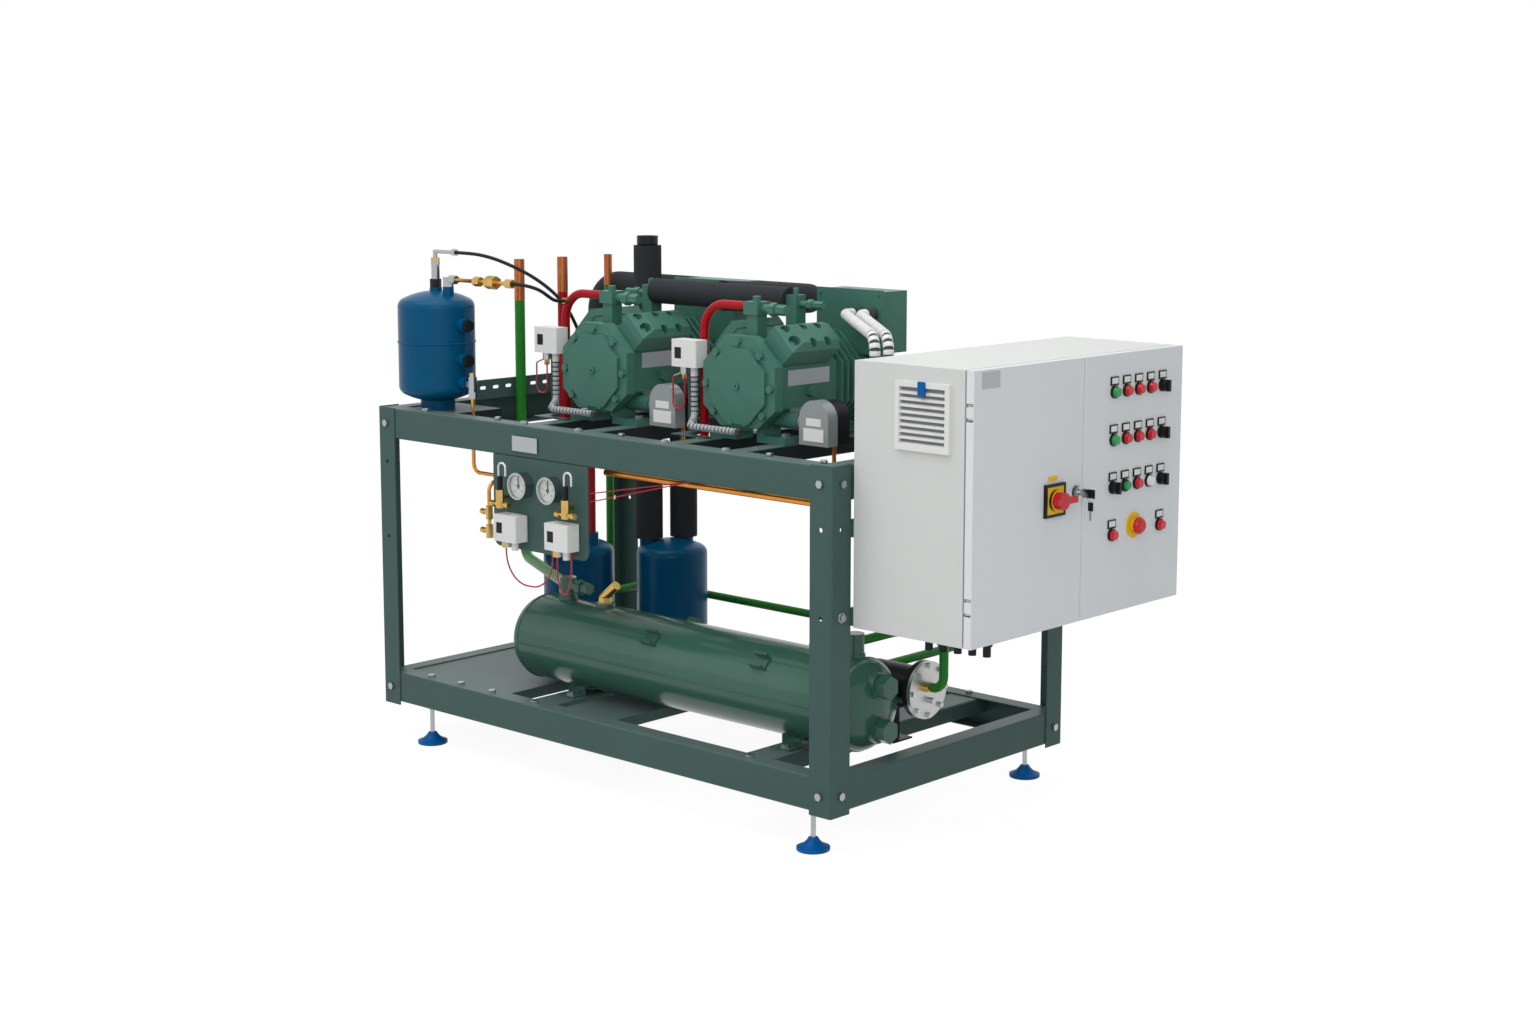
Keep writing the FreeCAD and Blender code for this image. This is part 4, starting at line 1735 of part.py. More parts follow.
def make_gauges():
    """Two pressure gauges: round cases with a rim, a lens, a dial and a turning needle."""
    cases = []
    half = s.gauge_diameter / 2
    for number, x in enumerate(gauge_places):
        name = f"gauge_{number}"
        thing = body(name, x, panel_face, gauge_height)
        profile = sketch(thing, "YZ_Plane", name + "_case")
        rim = half - s.gauge_rim
        dial = s.gauge_depth - s.gauge_well
        loop(profile, [
            (-s.gauge_depth, rim - 1), (-dial, rim - 1), (-dial, 2), (-dial + 6, 2),
            (-dial + 6, 0), (s.gauge_stem_length, 0),
            (s.gauge_stem_length, s.gauge_stem / 2), (0, s.gauge_stem / 2), (0, half - 1),
            (-s.gauge_depth + s.gauge_rim, half - 1), (-s.gauge_depth + s.gauge_rim, half),
            (-s.gauge_depth, half)])
        revolve(thing, profile, "H_Axis")
        cases.append(thing)
        needle_y = panel_face - s.gauge_depth + s.gauge_well - s.needle_gap
        hub = rod(name + "_hub", s.needle_hub, s.needle_thickness * 2, x,
                  needle_y, gauge_height, "-y")
        spindle = rod(name + "_spindle", 3, 4, x, needle_y + 3, gauge_height, "-y")
        pointer = block(name + "_pointer", 3, s.needle_thickness,
                        s.needle_length + 8, x - 1.5, needle_y - s.needle_thickness,
                        gauge_height - 8)
        side = "left" if number == 0 else "right"
        node(fuse("gauge_needle_" + side, [hub, spindle, pointer]), "gauge_needle_" + side)
    node(group("gauge_cases", cases), "gauge_cases")


def pressure_switch(name, left, front, low):
    """A boxed pressure switch with a scale window, a bellows below and a gland."""
    thing = body(name, left, front, low)
    case = sketch(thing, "XY_Plane", name + "_case")
    rectangle(case, 0, 0, s.switch_width, s.switch_depth)
    pad(thing, case, s.switch_height)
    soften(thing, s.switch_corner, upright)
    window = sketch(thing, "XZ_Plane", name + "_window")
    rectangle(window, s.switch_width * 0.14, s.switch_height * 0.3, s.switch_width * 0.42,
              s.switch_height * 0.72)
    pocket(thing, window, s.window_recess)
    bellows = rod(name + "_bellows", s.bellows_diameter, s.bellows_length, left
                  + s.switch_width * 0.3, front + s.switch_depth / 2, low - s.bellows_length)
    gland = rod(name + "_gland", s.gland_diameter, s.gland_length, left + s.switch_width * 0.7,
                front + s.switch_depth / 2, low - s.gland_length)
    return fuse(name + "_whole", [thing, bellows, gland])


def make_pressure_switches():
    """Two switches on the gauge panel, and one beside each compressor on its own angle."""
    parts = []
    low = panel_top - s.switch_drop - s.switch_height
    for number in range(2):
        parts.append(pressure_switch(f"panel_switch_{number}", s.panel_left + s.switch_left
                                     + number * s.switch_pitch, panel_face - s.switch_depth,
                                     low))
    for number, centre in enumerate(compressor_centres):
        left = centre - s.head_switch_x
        low = deck_height + s.head_switch_low
        parts.append(pressure_switch(f"compressor_switch_{number}", left, s.compressor_front,
                                     low))
        back = s.compressor_front + s.switch_depth
        strip_left = left + s.strip_foot / 2
        foot_front = s.compressor_front - s.strip_foot / 2
        upright_strip = block(f"switch_strip_{number}", s.strip_width, s.rail_sheet,
                              s.head_switch_low + s.switch_height * 0.8, strip_left, back,
                              deck_height)
        tab = block(f"switch_tab_{number}", s.strip_width, back - foot_front + s.rail_sheet,
                    s.rail_sheet, strip_left, foot_front, deck_height)
        foot = block(f"switch_foot_{number}", bearer_centres[2 * number] - strip_left,
                     s.strip_foot * 0.8, s.rail_sheet, strip_left, foot_front, deck_height)
        parts.append(fuse(f"switch_bracket_{number}", [upright_strip, tab, foot]))
    node(group("pressure_switches", parts), "pressure_switches")


# Pipes, oil lines, capillaries, hoses and conduits
VECTORS = {along: FreeCAD.Vector(*step) for along, step in STEP.items()}
valve_line = valve_seat + s.valve_width * 1.1 * 0.55
separator_top = low_vessel_foot + s.low_ring_height + s.separator_height
accumulator_top = low_vessel_foot + s.low_ring_height + s.accumulator_height
header_y = s.compressor_front + s.suction_y
header_z = deck_height + s.header_height
discharge_line_y = s.compressor_front + s.discharge_y
discharge_line_z = discharge_pad + s.discharge_valve_height * 0.58
panel_valve_y = panel_face - s.panel_valve_reach


def bar(diameter, length, spot, along):
    """A round bar from a place measured from the rack corner."""
    return Part.makeCylinder(as_size(diameter).value / 2, as_size(length).value,
                             corner_point(*spot), VECTORS[along])


def hex_bar(across, length, spot, along):
    """A hexagonal bar of that size across its flats."""
    radius = as_size(across).value / math.sqrt(3)
    corners = [FreeCAD.Vector(radius * math.cos(math.radians(60 * k)),
                              radius * math.sin(math.radians(60 * k)), 0) for k in range(7)]
    prism = Part.Face(Part.makePolygon(corners)).extrude(
        FreeCAD.Vector(0, 0, as_size(length).value))
    prism.Placement = FreeCAD.Placement(corner_point(*spot), ALONG[along])
    return prism


def joined(solids):
    return solids[0].multiFuse(solids[1:]).removeSplitter()


def valve_with_cap(spot, size, along, cap_along):
    """A small brass service valve: hexagon body, run along one way and a capped stem."""
    x, y, z = [as_size(value) for value in spot]
    size = as_size(size)
    return joined([
        hex_bar(size, size * 2.2, moved((x, y, z), along, -size * 1.1), along),
        bar(size * 0.7, size * 1.3, (x, y, z), cap_along),
        hex_bar(size * 0.85, size * 0.8, moved((x, y, z), cap_along, size * 1.1), cap_along)])


def make_liquid_pipe():
    """Liquid line: from the condenser stub to the receiver, and from the receiver over the
    drier and out through the second stub."""
    x, y, z = s.liquid_inlet_x, s.liquid_inlet_y, valve_line
    wall = s.pipe_wall
    dx, dy = s.valve_x.value - x.value, s.receiver_y.value - y.value
    share = 1 - (s.valve_width.value / 2 + s.running_clearance.value) / math.hypot(dx, dy)
    inlet = tube([(x, y, s.liquid_stub_top), (x, y, z),
                  (x.value + dx * share, y.value + dy * share, z)],
                 s.liquid_outside, s.pipe_bend, wall)
    start = s.receiver_y + s.valve_width / 2 + s.running_clearance
    drop_x = s.drier_right + s.drier_drop_reach
    run = tube([(s.outlet_x, start, z), (s.outlet_x, s.drier_y, z), (drop_x, s.drier_y, z),
                (drop_x, s.drier_y, s.drier_z + 8),
                (s.drier_right + 16 + s.running_clearance, s.drier_y, s.drier_z + 8)],
               s.branch_outside, s.small_bend)
    left = s.drier_right - s.drier_length
    out = tube([(left - s.running_clearance, s.drier_y, s.drier_z),
                (left - 60, s.drier_y, s.drier_z),
                (left - 60, s.liquid_run_y, s.drier_z),
                (s.liquid_riser_x, s.liquid_run_y, s.drier_z),
                (s.liquid_riser_x, s.liquid_riser_y, s.drier_z),
                (s.liquid_riser_x, s.liquid_riser_y, s.stub_top)],
               s.branch_outside, s.small_bend, wall)
    shape_part("liquid_pipe", [inlet, run, out])


def make_discharge_pipe():
    """Hot gas: each compressor's drop, the main under the deck, the separator and the stub."""
    solids = []
    main_z = s.discharge_main_height
    inlet_x = s.separator_x + s.separator_port_offset
    outlet_x = s.separator_x - s.separator_port_offset
    y = discharge_line_y
    port = separator_top + s.port_rise - s.port_sink + s.running_clearance
    first_drop, last_drop = [centre - s.branch_drop for centre in compressor_centres]
    start = [centre - s.discharge_valve_width / 2 - s.running_clearance
             for centre in compressor_centres]
    solids.append(tube([(start[1], y, discharge_line_z), (last_drop, y, discharge_line_z),
                        (last_drop, y, main_z), (inlet_x, y, main_z),
                        (inlet_x, s.separator_y, main_z), (inlet_x, s.separator_y, port)],
                       s.branch_outside, [s.branch_bend.value] * 2 + [s.small_bend.value] * 2
                       + [s.small_bend.value]))
    solids.append(tube([(start[0], y, discharge_line_z), (first_drop, y, discharge_line_z),
                        (first_drop, y, main_z)], s.branch_outside, s.branch_bend))
    network = joined(solids)
    stub = tube_straight((outlet_x, s.separator_y, port), s.discharge_outside,
                         s.stub_top - port, s.pipe_wall)
    shape_part("discharge_pipe", [network, stub])


def tube_straight(spot, diameter, length, wall):
    """A straight upright tube, open at both ends."""
    return bar(diameter, length, spot, "z").cut(
        bar(diameter - 2 * wall, length + 2, (spot[0], spot[1], spot[2] - 1), "z"))


def swaged_end(spot, diameter, wall):
    """The end of an upright pipe, widened so that the next length goes into it."""
    narrow = as_size(diameter).value / 2
    gauge = as_size(wall).value
    taper, straight = s.swage_taper.value, s.bare_end.value
    centre = corner_point(*spot)
    top = centre + FreeCAD.Vector(0, 0, taper)
    up = VECTORS["z"]
    outer = Part.makeCone(narrow, narrow + gauge, taper, centre, up).fuse(
        Part.makeCylinder(narrow + gauge, straight, top, up))
    inner = Part.makeCone(narrow - gauge, narrow, taper, centre, up).fuse(
        Part.makeCylinder(narrow, straight, top, up))
    return outer.cut(inner)


def make_suction_pipe():
    """Insulated suction line: the stub, the accumulator's outlet run and the header."""
    seat = accumulator_top + s.running_clearance
    clear = s.running_clearance
    stub = tube_straight((s.riser_x, s.riser_y, seat), s.suction_outside, s.riser_top - seat,
                         (s.suction_outside - s.suction_bore) / 2 - clear)
    port_top = accumulator_top + s.port_rise - s.port_sink
    spot = (s.riser_x, s.riser_y)
    copper = tube_straight((*spot, port_top), s.suction_bore, s.riser_top - port_top,
                           s.suction_pipe_wall)
    coupling = swaged_end((*spot, s.riser_top), s.suction_bore, s.suction_pipe_wall)
    copper = joined([copper, coupling])
    x, y = s.outlet_riser_x, s.rear_run_y
    points = [(x, y, seat), (x, y, s.swan_height), (s.rear_run_left, y, s.swan_height),
              (s.rear_run_left, y, s.rear_run_height), (s.rear_run_right, y, s.rear_run_height),
              (s.rear_run_right, header_y, header_z)]
    run = tube(points, s.suction_outside, s.suction_bend)
    gap = s.suction_valve_width / 2 + s.running_clearance
    first, last = compressor_centres[0] + gap, compressor_centres[1] - gap
    header = bar(s.header_outside, last - first, (first, header_y, header_z), "x")
    socket = bar(s.suction_bore, s.port_rise - s.port_sink + 3, (x, y, seat - 1), "z")
    network = joined([run, header]).cut(socket)
    shape_part("suction_pipe", [stub, copper, network])


def make_oil_lines():
    """Oil: reservoir top and side valves, sight tube, panel fittings and the front manifold."""
    x, y, top = s.reservoir_x, s.reservoir_y, reservoir_top + s.nozzle_rise
    clear = s.running_clearance
    solids = [joined([
        hex_bar(26, 22, (x, y, top + clear), "z"), bar(22, 40, (x, y, top + 20), "z"),
        hex_bar(20, 20, (x, y, top + 58), "z"), bar(12, 22, (x, y, top + 76), "z"),
        bar(s.oil_tube, s.hose_start_x - x, (x, y, s.hose_start_z), "x"),
        hex_bar(16, 16, (s.hose_start_x - 16, y, s.hose_start_z), "x")])]
    side_x = x + s.top_nozzle_offset
    side_z = s.oil_cross_z
    low = reservoir_top + s.nozzle_rise + 4 + clear
    solids.append(joined([
        hex_bar(24, side_z - low + 6, (side_x, y, low), "z"),
        hex_bar(20, 26, (side_x + 8, y, side_z), "x"),
        bar(s.oil_tube, s.oil_cross_length - 40, (side_x + 30, y, side_z), "x"),
        hex_bar(22, 24, (side_x + s.oil_cross_length * 0.42, y, side_z), "x"),
        hex_bar(30, 34, (side_x + s.oil_cross_length * 0.62, y, side_z), "x"),
        hex_bar(20, 26, (side_x + s.oil_cross_length - 26, y, side_z), "x")]))
    valve_x = x + s.reservoir_diameter / 2 + s.boss_length + clear
    outlet_z = deck_height + s.outlet_boss
    drop_x = s.oil_drop_x
    solids.append(joined([
        hex_bar(26, 18, (valve_x, y, outlet_z), "x"),
        bar(24, 40, (drop_x, y, outlet_z - 20), "z"),
        bar(18, 10, (drop_x, y, outlet_z + 20), "z"),
        hex_bar(18, 20, (drop_x, y, outlet_z - 38), "z"),
        tube([(drop_x, y, outlet_z - 30), (drop_x, y, s.oil_low_z), (s.oil_panel_x, y,
              s.oil_low_z), (s.oil_panel_x, s.oil_panel_y, s.oil_low_z),
              (s.oil_panel_x, s.oil_panel_y, s.oil_low_z - s.oil_end)], s.oil_tube, 24)]))
    for glass_z in (s.boss_low, s.boss_high):
        solids.append(hex_bar(s.boss_diameter * 0.8, 10, (valve_x, y, deck_height + glass_z),
                              "x"))
    manifold_y, manifold_z = s.manifold_y, s.manifold_z
    right = compressor_centres[1] + s.regulator_x + 60
    manifold = [bar(s.manifold_tube, right + 110 - s.manifold_left, (s.manifold_left,
                    manifold_y, manifold_z), "x")]
    for centre in compressor_centres:
        rise_x = centre + s.regulator_x + 60
        base_y = s.compressor_front + s.regulator_y + s.window_depth + 22
        manifold.append(tube([(rise_x, manifold_y, manifold_z), (rise_x, base_y, manifold_z),
                              (rise_x, base_y, deck_height + s.regulator_lift + 3 - clear)],
                             s.oil_tube, 24))
    solids.append(joined(manifold))
    case_side = compressor_centres[0] - s.flange_half_width + s.case_inset
    solids.append(hex_bar(16, case_side - clear - s.hose_end_x,
                          (s.hose_end_x, s.hose_end_y, s.hose_end_z), "x"))
    bend_share = s.branch_bend * (1 - math.sqrt(0.5))
    tap_y = discharge_line_y - s.branch_outside / 2 - clear
    solids.append(hex_bar(14, tap_y - s.tap_start_y, (
        compressor_centres[0] - s.branch_drop + bend_share, s.tap_start_y,
        discharge_line_z - bend_share), "y"))
    shape_part("oil_lines", solids)


def make_gauge_lines():
    """Panel valves, their fittings and the red capillaries to the gauges and switches."""
    solids = []
    low = panel_top - s.switch_drop - s.switch_height - s.bellows_length
    mid_y = panel_face - s.switch_depth / 2
    clear = s.running_clearance
    first, second = [s.panel_left + s.switch_left + s.switch_width * 0.3
                     + number * s.switch_pitch for number in range(2)]
    switch_foot = low + s.bellows_length - clear
    solids.append(tube([(first, mid_y, low - clear), (first, mid_y, low - 88),
                        (second - 17, mid_y, low - 88), (second - 17, mid_y, switch_foot)],
                       s.capillary, 78))
    solids.append(tube([(second, mid_y, low - clear), (second, mid_y, low - 52),
                        (second + 16, mid_y, low - 92), (second + 34, mid_y, low - 92),
                        (second + 51, mid_y, low - 50), (second + 51, mid_y, switch_foot)],
                       s.capillary, 14))
    for centre in compressor_centres:
        x = centre - s.head_switch_x + s.switch_width * 0.3
        y = s.compressor_front + s.switch_depth / 2
        z = deck_height + s.head_switch_low - s.bellows_length - clear
        solids.append(joined([
            hex_bar(12, 14, (x, y, z - 14), "z"),
            tube([(x, y, z), (x, y, z - 88), (x - 40, y, z - 88), (x - 40, y, z - 10),
                  (x - 28, y + 44, z + 4)], s.capillary, [17, 17, 8])]))
    for x in (s.panel_valve_left, s.panel_valve_right):
        z = panel_top - s.panel_valve_drop
        cap_top = z + 80
        solids.append(joined([
            hex_bar(18, 46, (x, panel_valve_y, z), "z"),
            bar(14, 40, (x, panel_valve_y, z + 40), "z"),
            bar(9, 52, (x - 26, panel_valve_y, z + 9), "x"),
            hex_bar(14, 14, (x - 34, panel_valve_y, z + 9), "x"),
            hex_bar(14, 14, (x + 20, panel_valve_y, z + 9), "x"),
            tube([(x - 4, panel_valve_y, cap_top - 4), (x - 4, panel_valve_y, cap_top + 34),
                  (x + 22, panel_valve_y, cap_top + 34), (x + 22, panel_valve_y, cap_top + 2)],
                 s.strap_thickness, 12),
            bar(10, s.panel_valve_reach - clear, (x, panel_valve_y, z + 26), "y")]))
    valve_pitch = s.panel_valve_size * 3
    upper = s.oil_low_z - s.oil_end - s.panel_valve_size * 1.1
    stack = [valve_with_cap((s.oil_panel_x, s.oil_panel_y, upper - number * valve_pitch),
                            s.panel_valve_size, "z", "-x") for number in range(2)]
    stack.append(bar(s.oil_tube, valve_pitch,
                     (s.oil_panel_x, s.oil_panel_y, upper - valve_pitch), "z"))
    solids.append(joined(stack))
    shape_part("gauge_lines", solids)


def hose(name, points):
    """A free hose: straight runs joined by the largest arcs that they allow."""
    radii = limp(points)
    bar_solid = tube(points, s.hose_diameter, radii)
    print(name, "arc radii", [round(radius) for radius in radii], "length",
          round(route([*points], radii).Length))
    shape_part(name, [bar_solid])


def make_hoses():
    """The two oil hoses, from the reservoir's fittings to the left compressor."""
    hose("hose_reservoir", [
        (211, 100, 1209), (245, 100, 1209), (284, 110, 1207), (322, 129, 1198),
        (359, 151, 1182), (394, 176, 1162), (424, 202, 1137), (446, 231, 1106),
        (455, 262, 1070), (450, 292, 1030), (444, 316, 993), (448, 330, 958),
        (460, 338, 932), (480, 343, 914), (503, 345, 905), (527, 345, 905)])
    hose("hose_oil", [
        (431, 100, 1138), (458, 100, 1138), (483, 111, 1134), (498, 133, 1124),
        (500, 160, 1106), (494.9, 187, 1093.1), (494.9, 213, 1093.1)])


def make_conduits():
    """Ribbed cable conduits from the right-hand terminal box to the cabinet's back wall, the
    switches' leads, and the glands under the cabinet."""
    solids = []
    box_right = compressor_centres[1] - s.terminal_offset + s.terminal_width
    lid_face = s.compressor_front + s.terminal_y - s.lid_depth
    for number in range(2):
        x = box_right - 25 - number * 42
        z = s.conduit_height
        low = s.conduit_low - number * 34
        turn_x = s.conduit_turn_x - number * 24
        turn_y = s.conduit_turn_y - number * 20
        start = lid_face - s.running_clearance
        edge = cabinet_back - s.running_clearance
        solids.append(joined([
            bar(s.conduit_diameter + 10, 26, (x, start, z), "-y"),
            tube([(x, start, z), (x, start - 48 - number * 8, z), (turn_x, turn_y, z - 26),
                  (turn_x, turn_y, low), (edge, turn_y, low)],
                 s.conduit_diameter, [28, 44, 30])]))
    for number in range(5):
        x = cabinet_back + s.cabinet_depth * 0.55 + number * 34
        y = s.cabinet_side + 60 + number * 8
        solids.append(joined([
            hex_bar(24, 10, (x, y, s.cabinet_low - 10), "z"),
            bar(18, 26, (x, y, s.cabinet_low - 34), "z")]))
    for centre in compressor_centres:
        left = centre - s.head_switch_x
        x = left + s.switch_width * 0.7
        y = s.compressor_front + s.switch_depth / 2
        z = deck_height + s.head_switch_low - s.gland_length - s.running_clearance
        low = deck_height + s.lead_rise
        front = s.compressor_front - s.lead_diameter
        solids.append(joined([
            tube([(x, y, z), (x, y, low + 18), (x + 20, front, low), (centre + 12, front, low)],
                 s.lead_diameter, [18, 18]),
            hex_bar(s.lead_diameter + 2, 14, (centre + 8, front, low), "x")]))
    shape_part("conduits", solids)


make_frame()
make_cabinet_brackets()
make_frame_bolts()
make_feet()
make_receiver()
make_saddles()
make_receiver_fittings()
make_drier()
make_oil_reservoir()
make_standing_vessels()
make_compressors()
make_liquid_pipe()
make_discharge_pipe()
make_suction_pipe()
make_oil_lines()
make_gauge_lines()
make_hoses()
make_conduits()
make_gauge_panel()
make_gauges()
make_pressure_switches()
make_cabinet_shell()
make_doors()
make_switchgear()
make_grille()
make_main_switch()
make_pilot_lights()
make_legends()
make_controls()

doc.recompute()
faults = [thing.Name for thing in doc.Objects
          if "Invalid" in thing.State or "Error" in thing.State]
for thing in doc.Objects:
    if thing.TypeId == "PartDesign::Pocket" and thing.BaseFeature is not None:
        if thing.Shape.Volume > thing.BaseFeature.Shape.Volume - 0.1:
            faults.append(thing.Name + " cuts nothing")
for name, thing in NODES.items():
    if thing.Shape.isNull() or not thing.Shape.isValid():
        faults.append(name + " has no valid shape")
if faults:
    raise RuntimeError("; ".join(faults))

os.makedirs("parts", exist_ok=True)
for name, thing in NODES.items():
    thing.Shape.exportStep(f"parts/{name}.step")
    box = thing.Shape.BoundBox
    print(f"{name}: {len(thing.Shape.Solids)} solids, {box.XLength:.0f} x {box.YLength:.0f} x"
          f" {box.ZLength:.0f}")
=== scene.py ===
# %% [markdown]
# A refrigeration compressor rack, dressed for its portrait. The metalwork comes from the CAD
# model: it is loaded once, stays where it is, and says where everything else belongs. This
# script gives each piece its finish, adds the hoses and the small trim, and sets up the studio.

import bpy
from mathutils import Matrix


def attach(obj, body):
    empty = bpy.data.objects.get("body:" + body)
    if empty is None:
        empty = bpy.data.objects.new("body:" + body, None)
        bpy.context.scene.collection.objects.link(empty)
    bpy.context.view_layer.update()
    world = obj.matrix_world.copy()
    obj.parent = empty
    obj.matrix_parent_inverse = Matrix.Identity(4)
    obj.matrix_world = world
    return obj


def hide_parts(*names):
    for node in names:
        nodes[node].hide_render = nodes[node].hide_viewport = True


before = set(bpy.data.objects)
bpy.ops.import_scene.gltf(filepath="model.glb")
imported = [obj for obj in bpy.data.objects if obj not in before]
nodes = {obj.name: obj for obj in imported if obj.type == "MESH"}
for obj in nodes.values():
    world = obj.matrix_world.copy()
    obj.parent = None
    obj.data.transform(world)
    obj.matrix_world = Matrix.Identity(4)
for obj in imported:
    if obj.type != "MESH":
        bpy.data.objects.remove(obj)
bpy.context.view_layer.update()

import math

import bpy
from mathutils import Euler, Matrix, Vector

MM = 0.001

# %% [markdown]
# The camera stands in front of the rack's right-hand corner, a little above the cabinet, with
# a lens of about 54 mm. Its shift puts the rack a little left of and below the middle of the
# picture, as the photographer framed it. It could be aimed with a tracking constraint, but
# plain angles are easier to read and can't drift.

# %% Camera
LENS_MM = 53.6
CAMERA_PLACE = (4.7229, -3.7529, 1.6318)
CAMERA_ANGLES = (81.965, -0.328, 41.049)
CAMERA_SHIFT = (-0.0519, -0.0404)

camera_data = bpy.data.cameras.new("camera")
camera_data.lens = LENS_MM
camera_data.sensor_width = 36
camera_data.shift_x, camera_data.shift_y = CAMERA_SHIFT
camera_data.clip_end = 100
camera = bpy.data.objects.new("camera", camera_data)
camera.location = CAMERA_PLACE
camera.rotation_euler = [math.radians(angle) for angle in CAMERA_ANGLES]
bpy.context.scene.collection.objects.link(camera)
bpy.context.scene.camera = camera
bpy.context.scene.view_settings.view_transform = "Standard"
print("camera at", CAMERA_PLACE)

# %% [markdown]
# Colours in the node editor are linear light, while eyes and colour pickers use the sRGB curve.
# One small helper turns the second kind into the first, so that the numbers below read as a
# painter would name them, from 0 to 255.


# %% Colour helper
def shade(red, green, blue):
    """An opaque linear colour from sRGB values of 0 to 255."""
    values = [part / 255 for part in (red, green, blue)]
    return [value / 12.92 if value <= 0.04045 else ((value + 0.055) / 1.055) ** 2.4
            for value in values] + [1.0]


print("mid grey in linear light is", round(shade(128, 128, 128)[0], 3))

# %% [markdown]
# The studio is an overcast sky: a soft world light from everywhere, one broad lamp overhead and
# a weaker one from the camera's side, so that upright faces keep their colour and the space
# under the deck goes dark. Rays that come from the camera, or from gloss and glass, see white.


# %% Ray helper
def seen_directly(tree):
    """One where a ray comes from the camera, from gloss or through glass, and zero elsewhere."""
    ray = tree.nodes.new("ShaderNodeLightPath")
    total = ray.outputs["Is Camera Ray"]
    for kind in ("Is Glossy Ray", "Is Transmission Ray"):
        either = tree.nodes.new("ShaderNodeMath")
        either.operation = "MAXIMUM"
        tree.links.new(total, either.inputs[0])
        tree.links.new(ray.outputs[kind], either.inputs[1])
        total = either.outputs[0]
    return total


# %% World
world = bpy.data.worlds.new("studio")
bpy.context.scene.world = world
world.use_nodes = True
sky = world.node_tree
sky.nodes.clear()
SKY_LIGHT = 0.5
seen = sky.nodes.new("ShaderNodeBackground")
seen.inputs["Color"].default_value = (1, 1, 1, 1)
seen.inputs["Strength"].default_value = 1.0
light = sky.nodes.new("ShaderNodeBackground")
light.inputs["Color"].default_value = (0.95, 0.98, 1, 1)
light.inputs["Strength"].default_value = SKY_LIGHT
choice = sky.nodes.new("ShaderNodeMixShader")
result = sky.nodes.new("ShaderNodeOutputWorld")
sky.links.new(seen_directly(sky), choice.inputs[0])
sky.links.new(light.outputs[0], choice.inputs[1])
sky.links.new(seen.outputs[0], choice.inputs[2])
sky.links.new(choice.outputs[0], result.inputs["Surface"])
print("world light", SKY_LIGHT)


# %% Lamps
def lamp(name, place, target, size, power):
    """A square soft lamp at a place, turned towards a point."""
    data = bpy.data.lights.new(name, "AREA")
    data.shape = "SQUARE"
    data.size = size
    data.energy = power
    thing = bpy.data.objects.new(name, data)
    thing.location = place
    thing.rotation_euler = (Vector(target) - Vector(place)).to_track_quat("-Z", "Y").to_euler()
    bpy.context.scene.collection.objects.link(thing)
    print(name, "gives", power, "W from", place)


MIDDLE = (0.8, 0.4, 0.7)
lamp("overhead", (0.6, -0.6, 4.6), MIDDLE, 4.0, 118)
lamp("camera_side", (4.6, -3.6, 3.0), MIDDLE, 3.0, 74)
lamp("left_side", (-2.6, -3.8, 2.6), MIDDLE, 3.0, 14)

# %% [markdown]
# The floor is white paper. For the camera, gloss and glass most of its brightness is its own, and
# a share comes from the lamps, which is what lets the rack's shadow show. Other rays meet plain
# pale paper that throws light back up under the frame.

# %% Floor
bpy.ops.mesh.primitive_plane_add(size=60, location=(0.8, 0.4, 0))
floor = bpy.context.object
floor.name = "floor"
paper = bpy.data.materials.new("paper")
paper.use_nodes = True
tree = paper.node_tree
tree.nodes.clear()
GLOW = 0.93
lit = tree.nodes.new("ShaderNodeBsdfDiffuse")
lit.inputs["Color"].default_value = (0.14, 0.14, 0.14, 1)
glow = tree.nodes.new("ShaderNodeEmission")
glow.inputs["Strength"].default_value = GLOW
both = tree.nodes.new("ShaderNodeAddShader")
plain = tree.nodes.new("ShaderNodeBsdfDiffuse")
plain.inputs["Color"].default_value = (0.7, 0.7, 0.7, 1)
pick = tree.nodes.new("ShaderNodeMixShader")
output = tree.nodes.new("ShaderNodeOutputMaterial")
tree.links.new(lit.outputs[0], both.inputs[0])
tree.links.new(glow.outputs[0], both.inputs[1])
tree.links.new(seen_directly(tree), pick.inputs[0])
tree.links.new(plain.outputs[0], pick.inputs[1])
tree.links.new(both.outputs[0], pick.inputs[2])
tree.links.new(pick.outputs[0], output.inputs["Surface"])
floor.data.materials.append(paper)
print("floor glows at", GLOW)

# %% [markdown]
# Nearly every finish here is a Principled shader with three small touches: a colour that drifts
# a little over the piece, a roughness that drifts with it, and a fine bump for the skin of the
# paint, casting or moulding. Noise on Object coordinates gives all three in real metres, so
# the grain has the same size on every piece. One helper makes them.


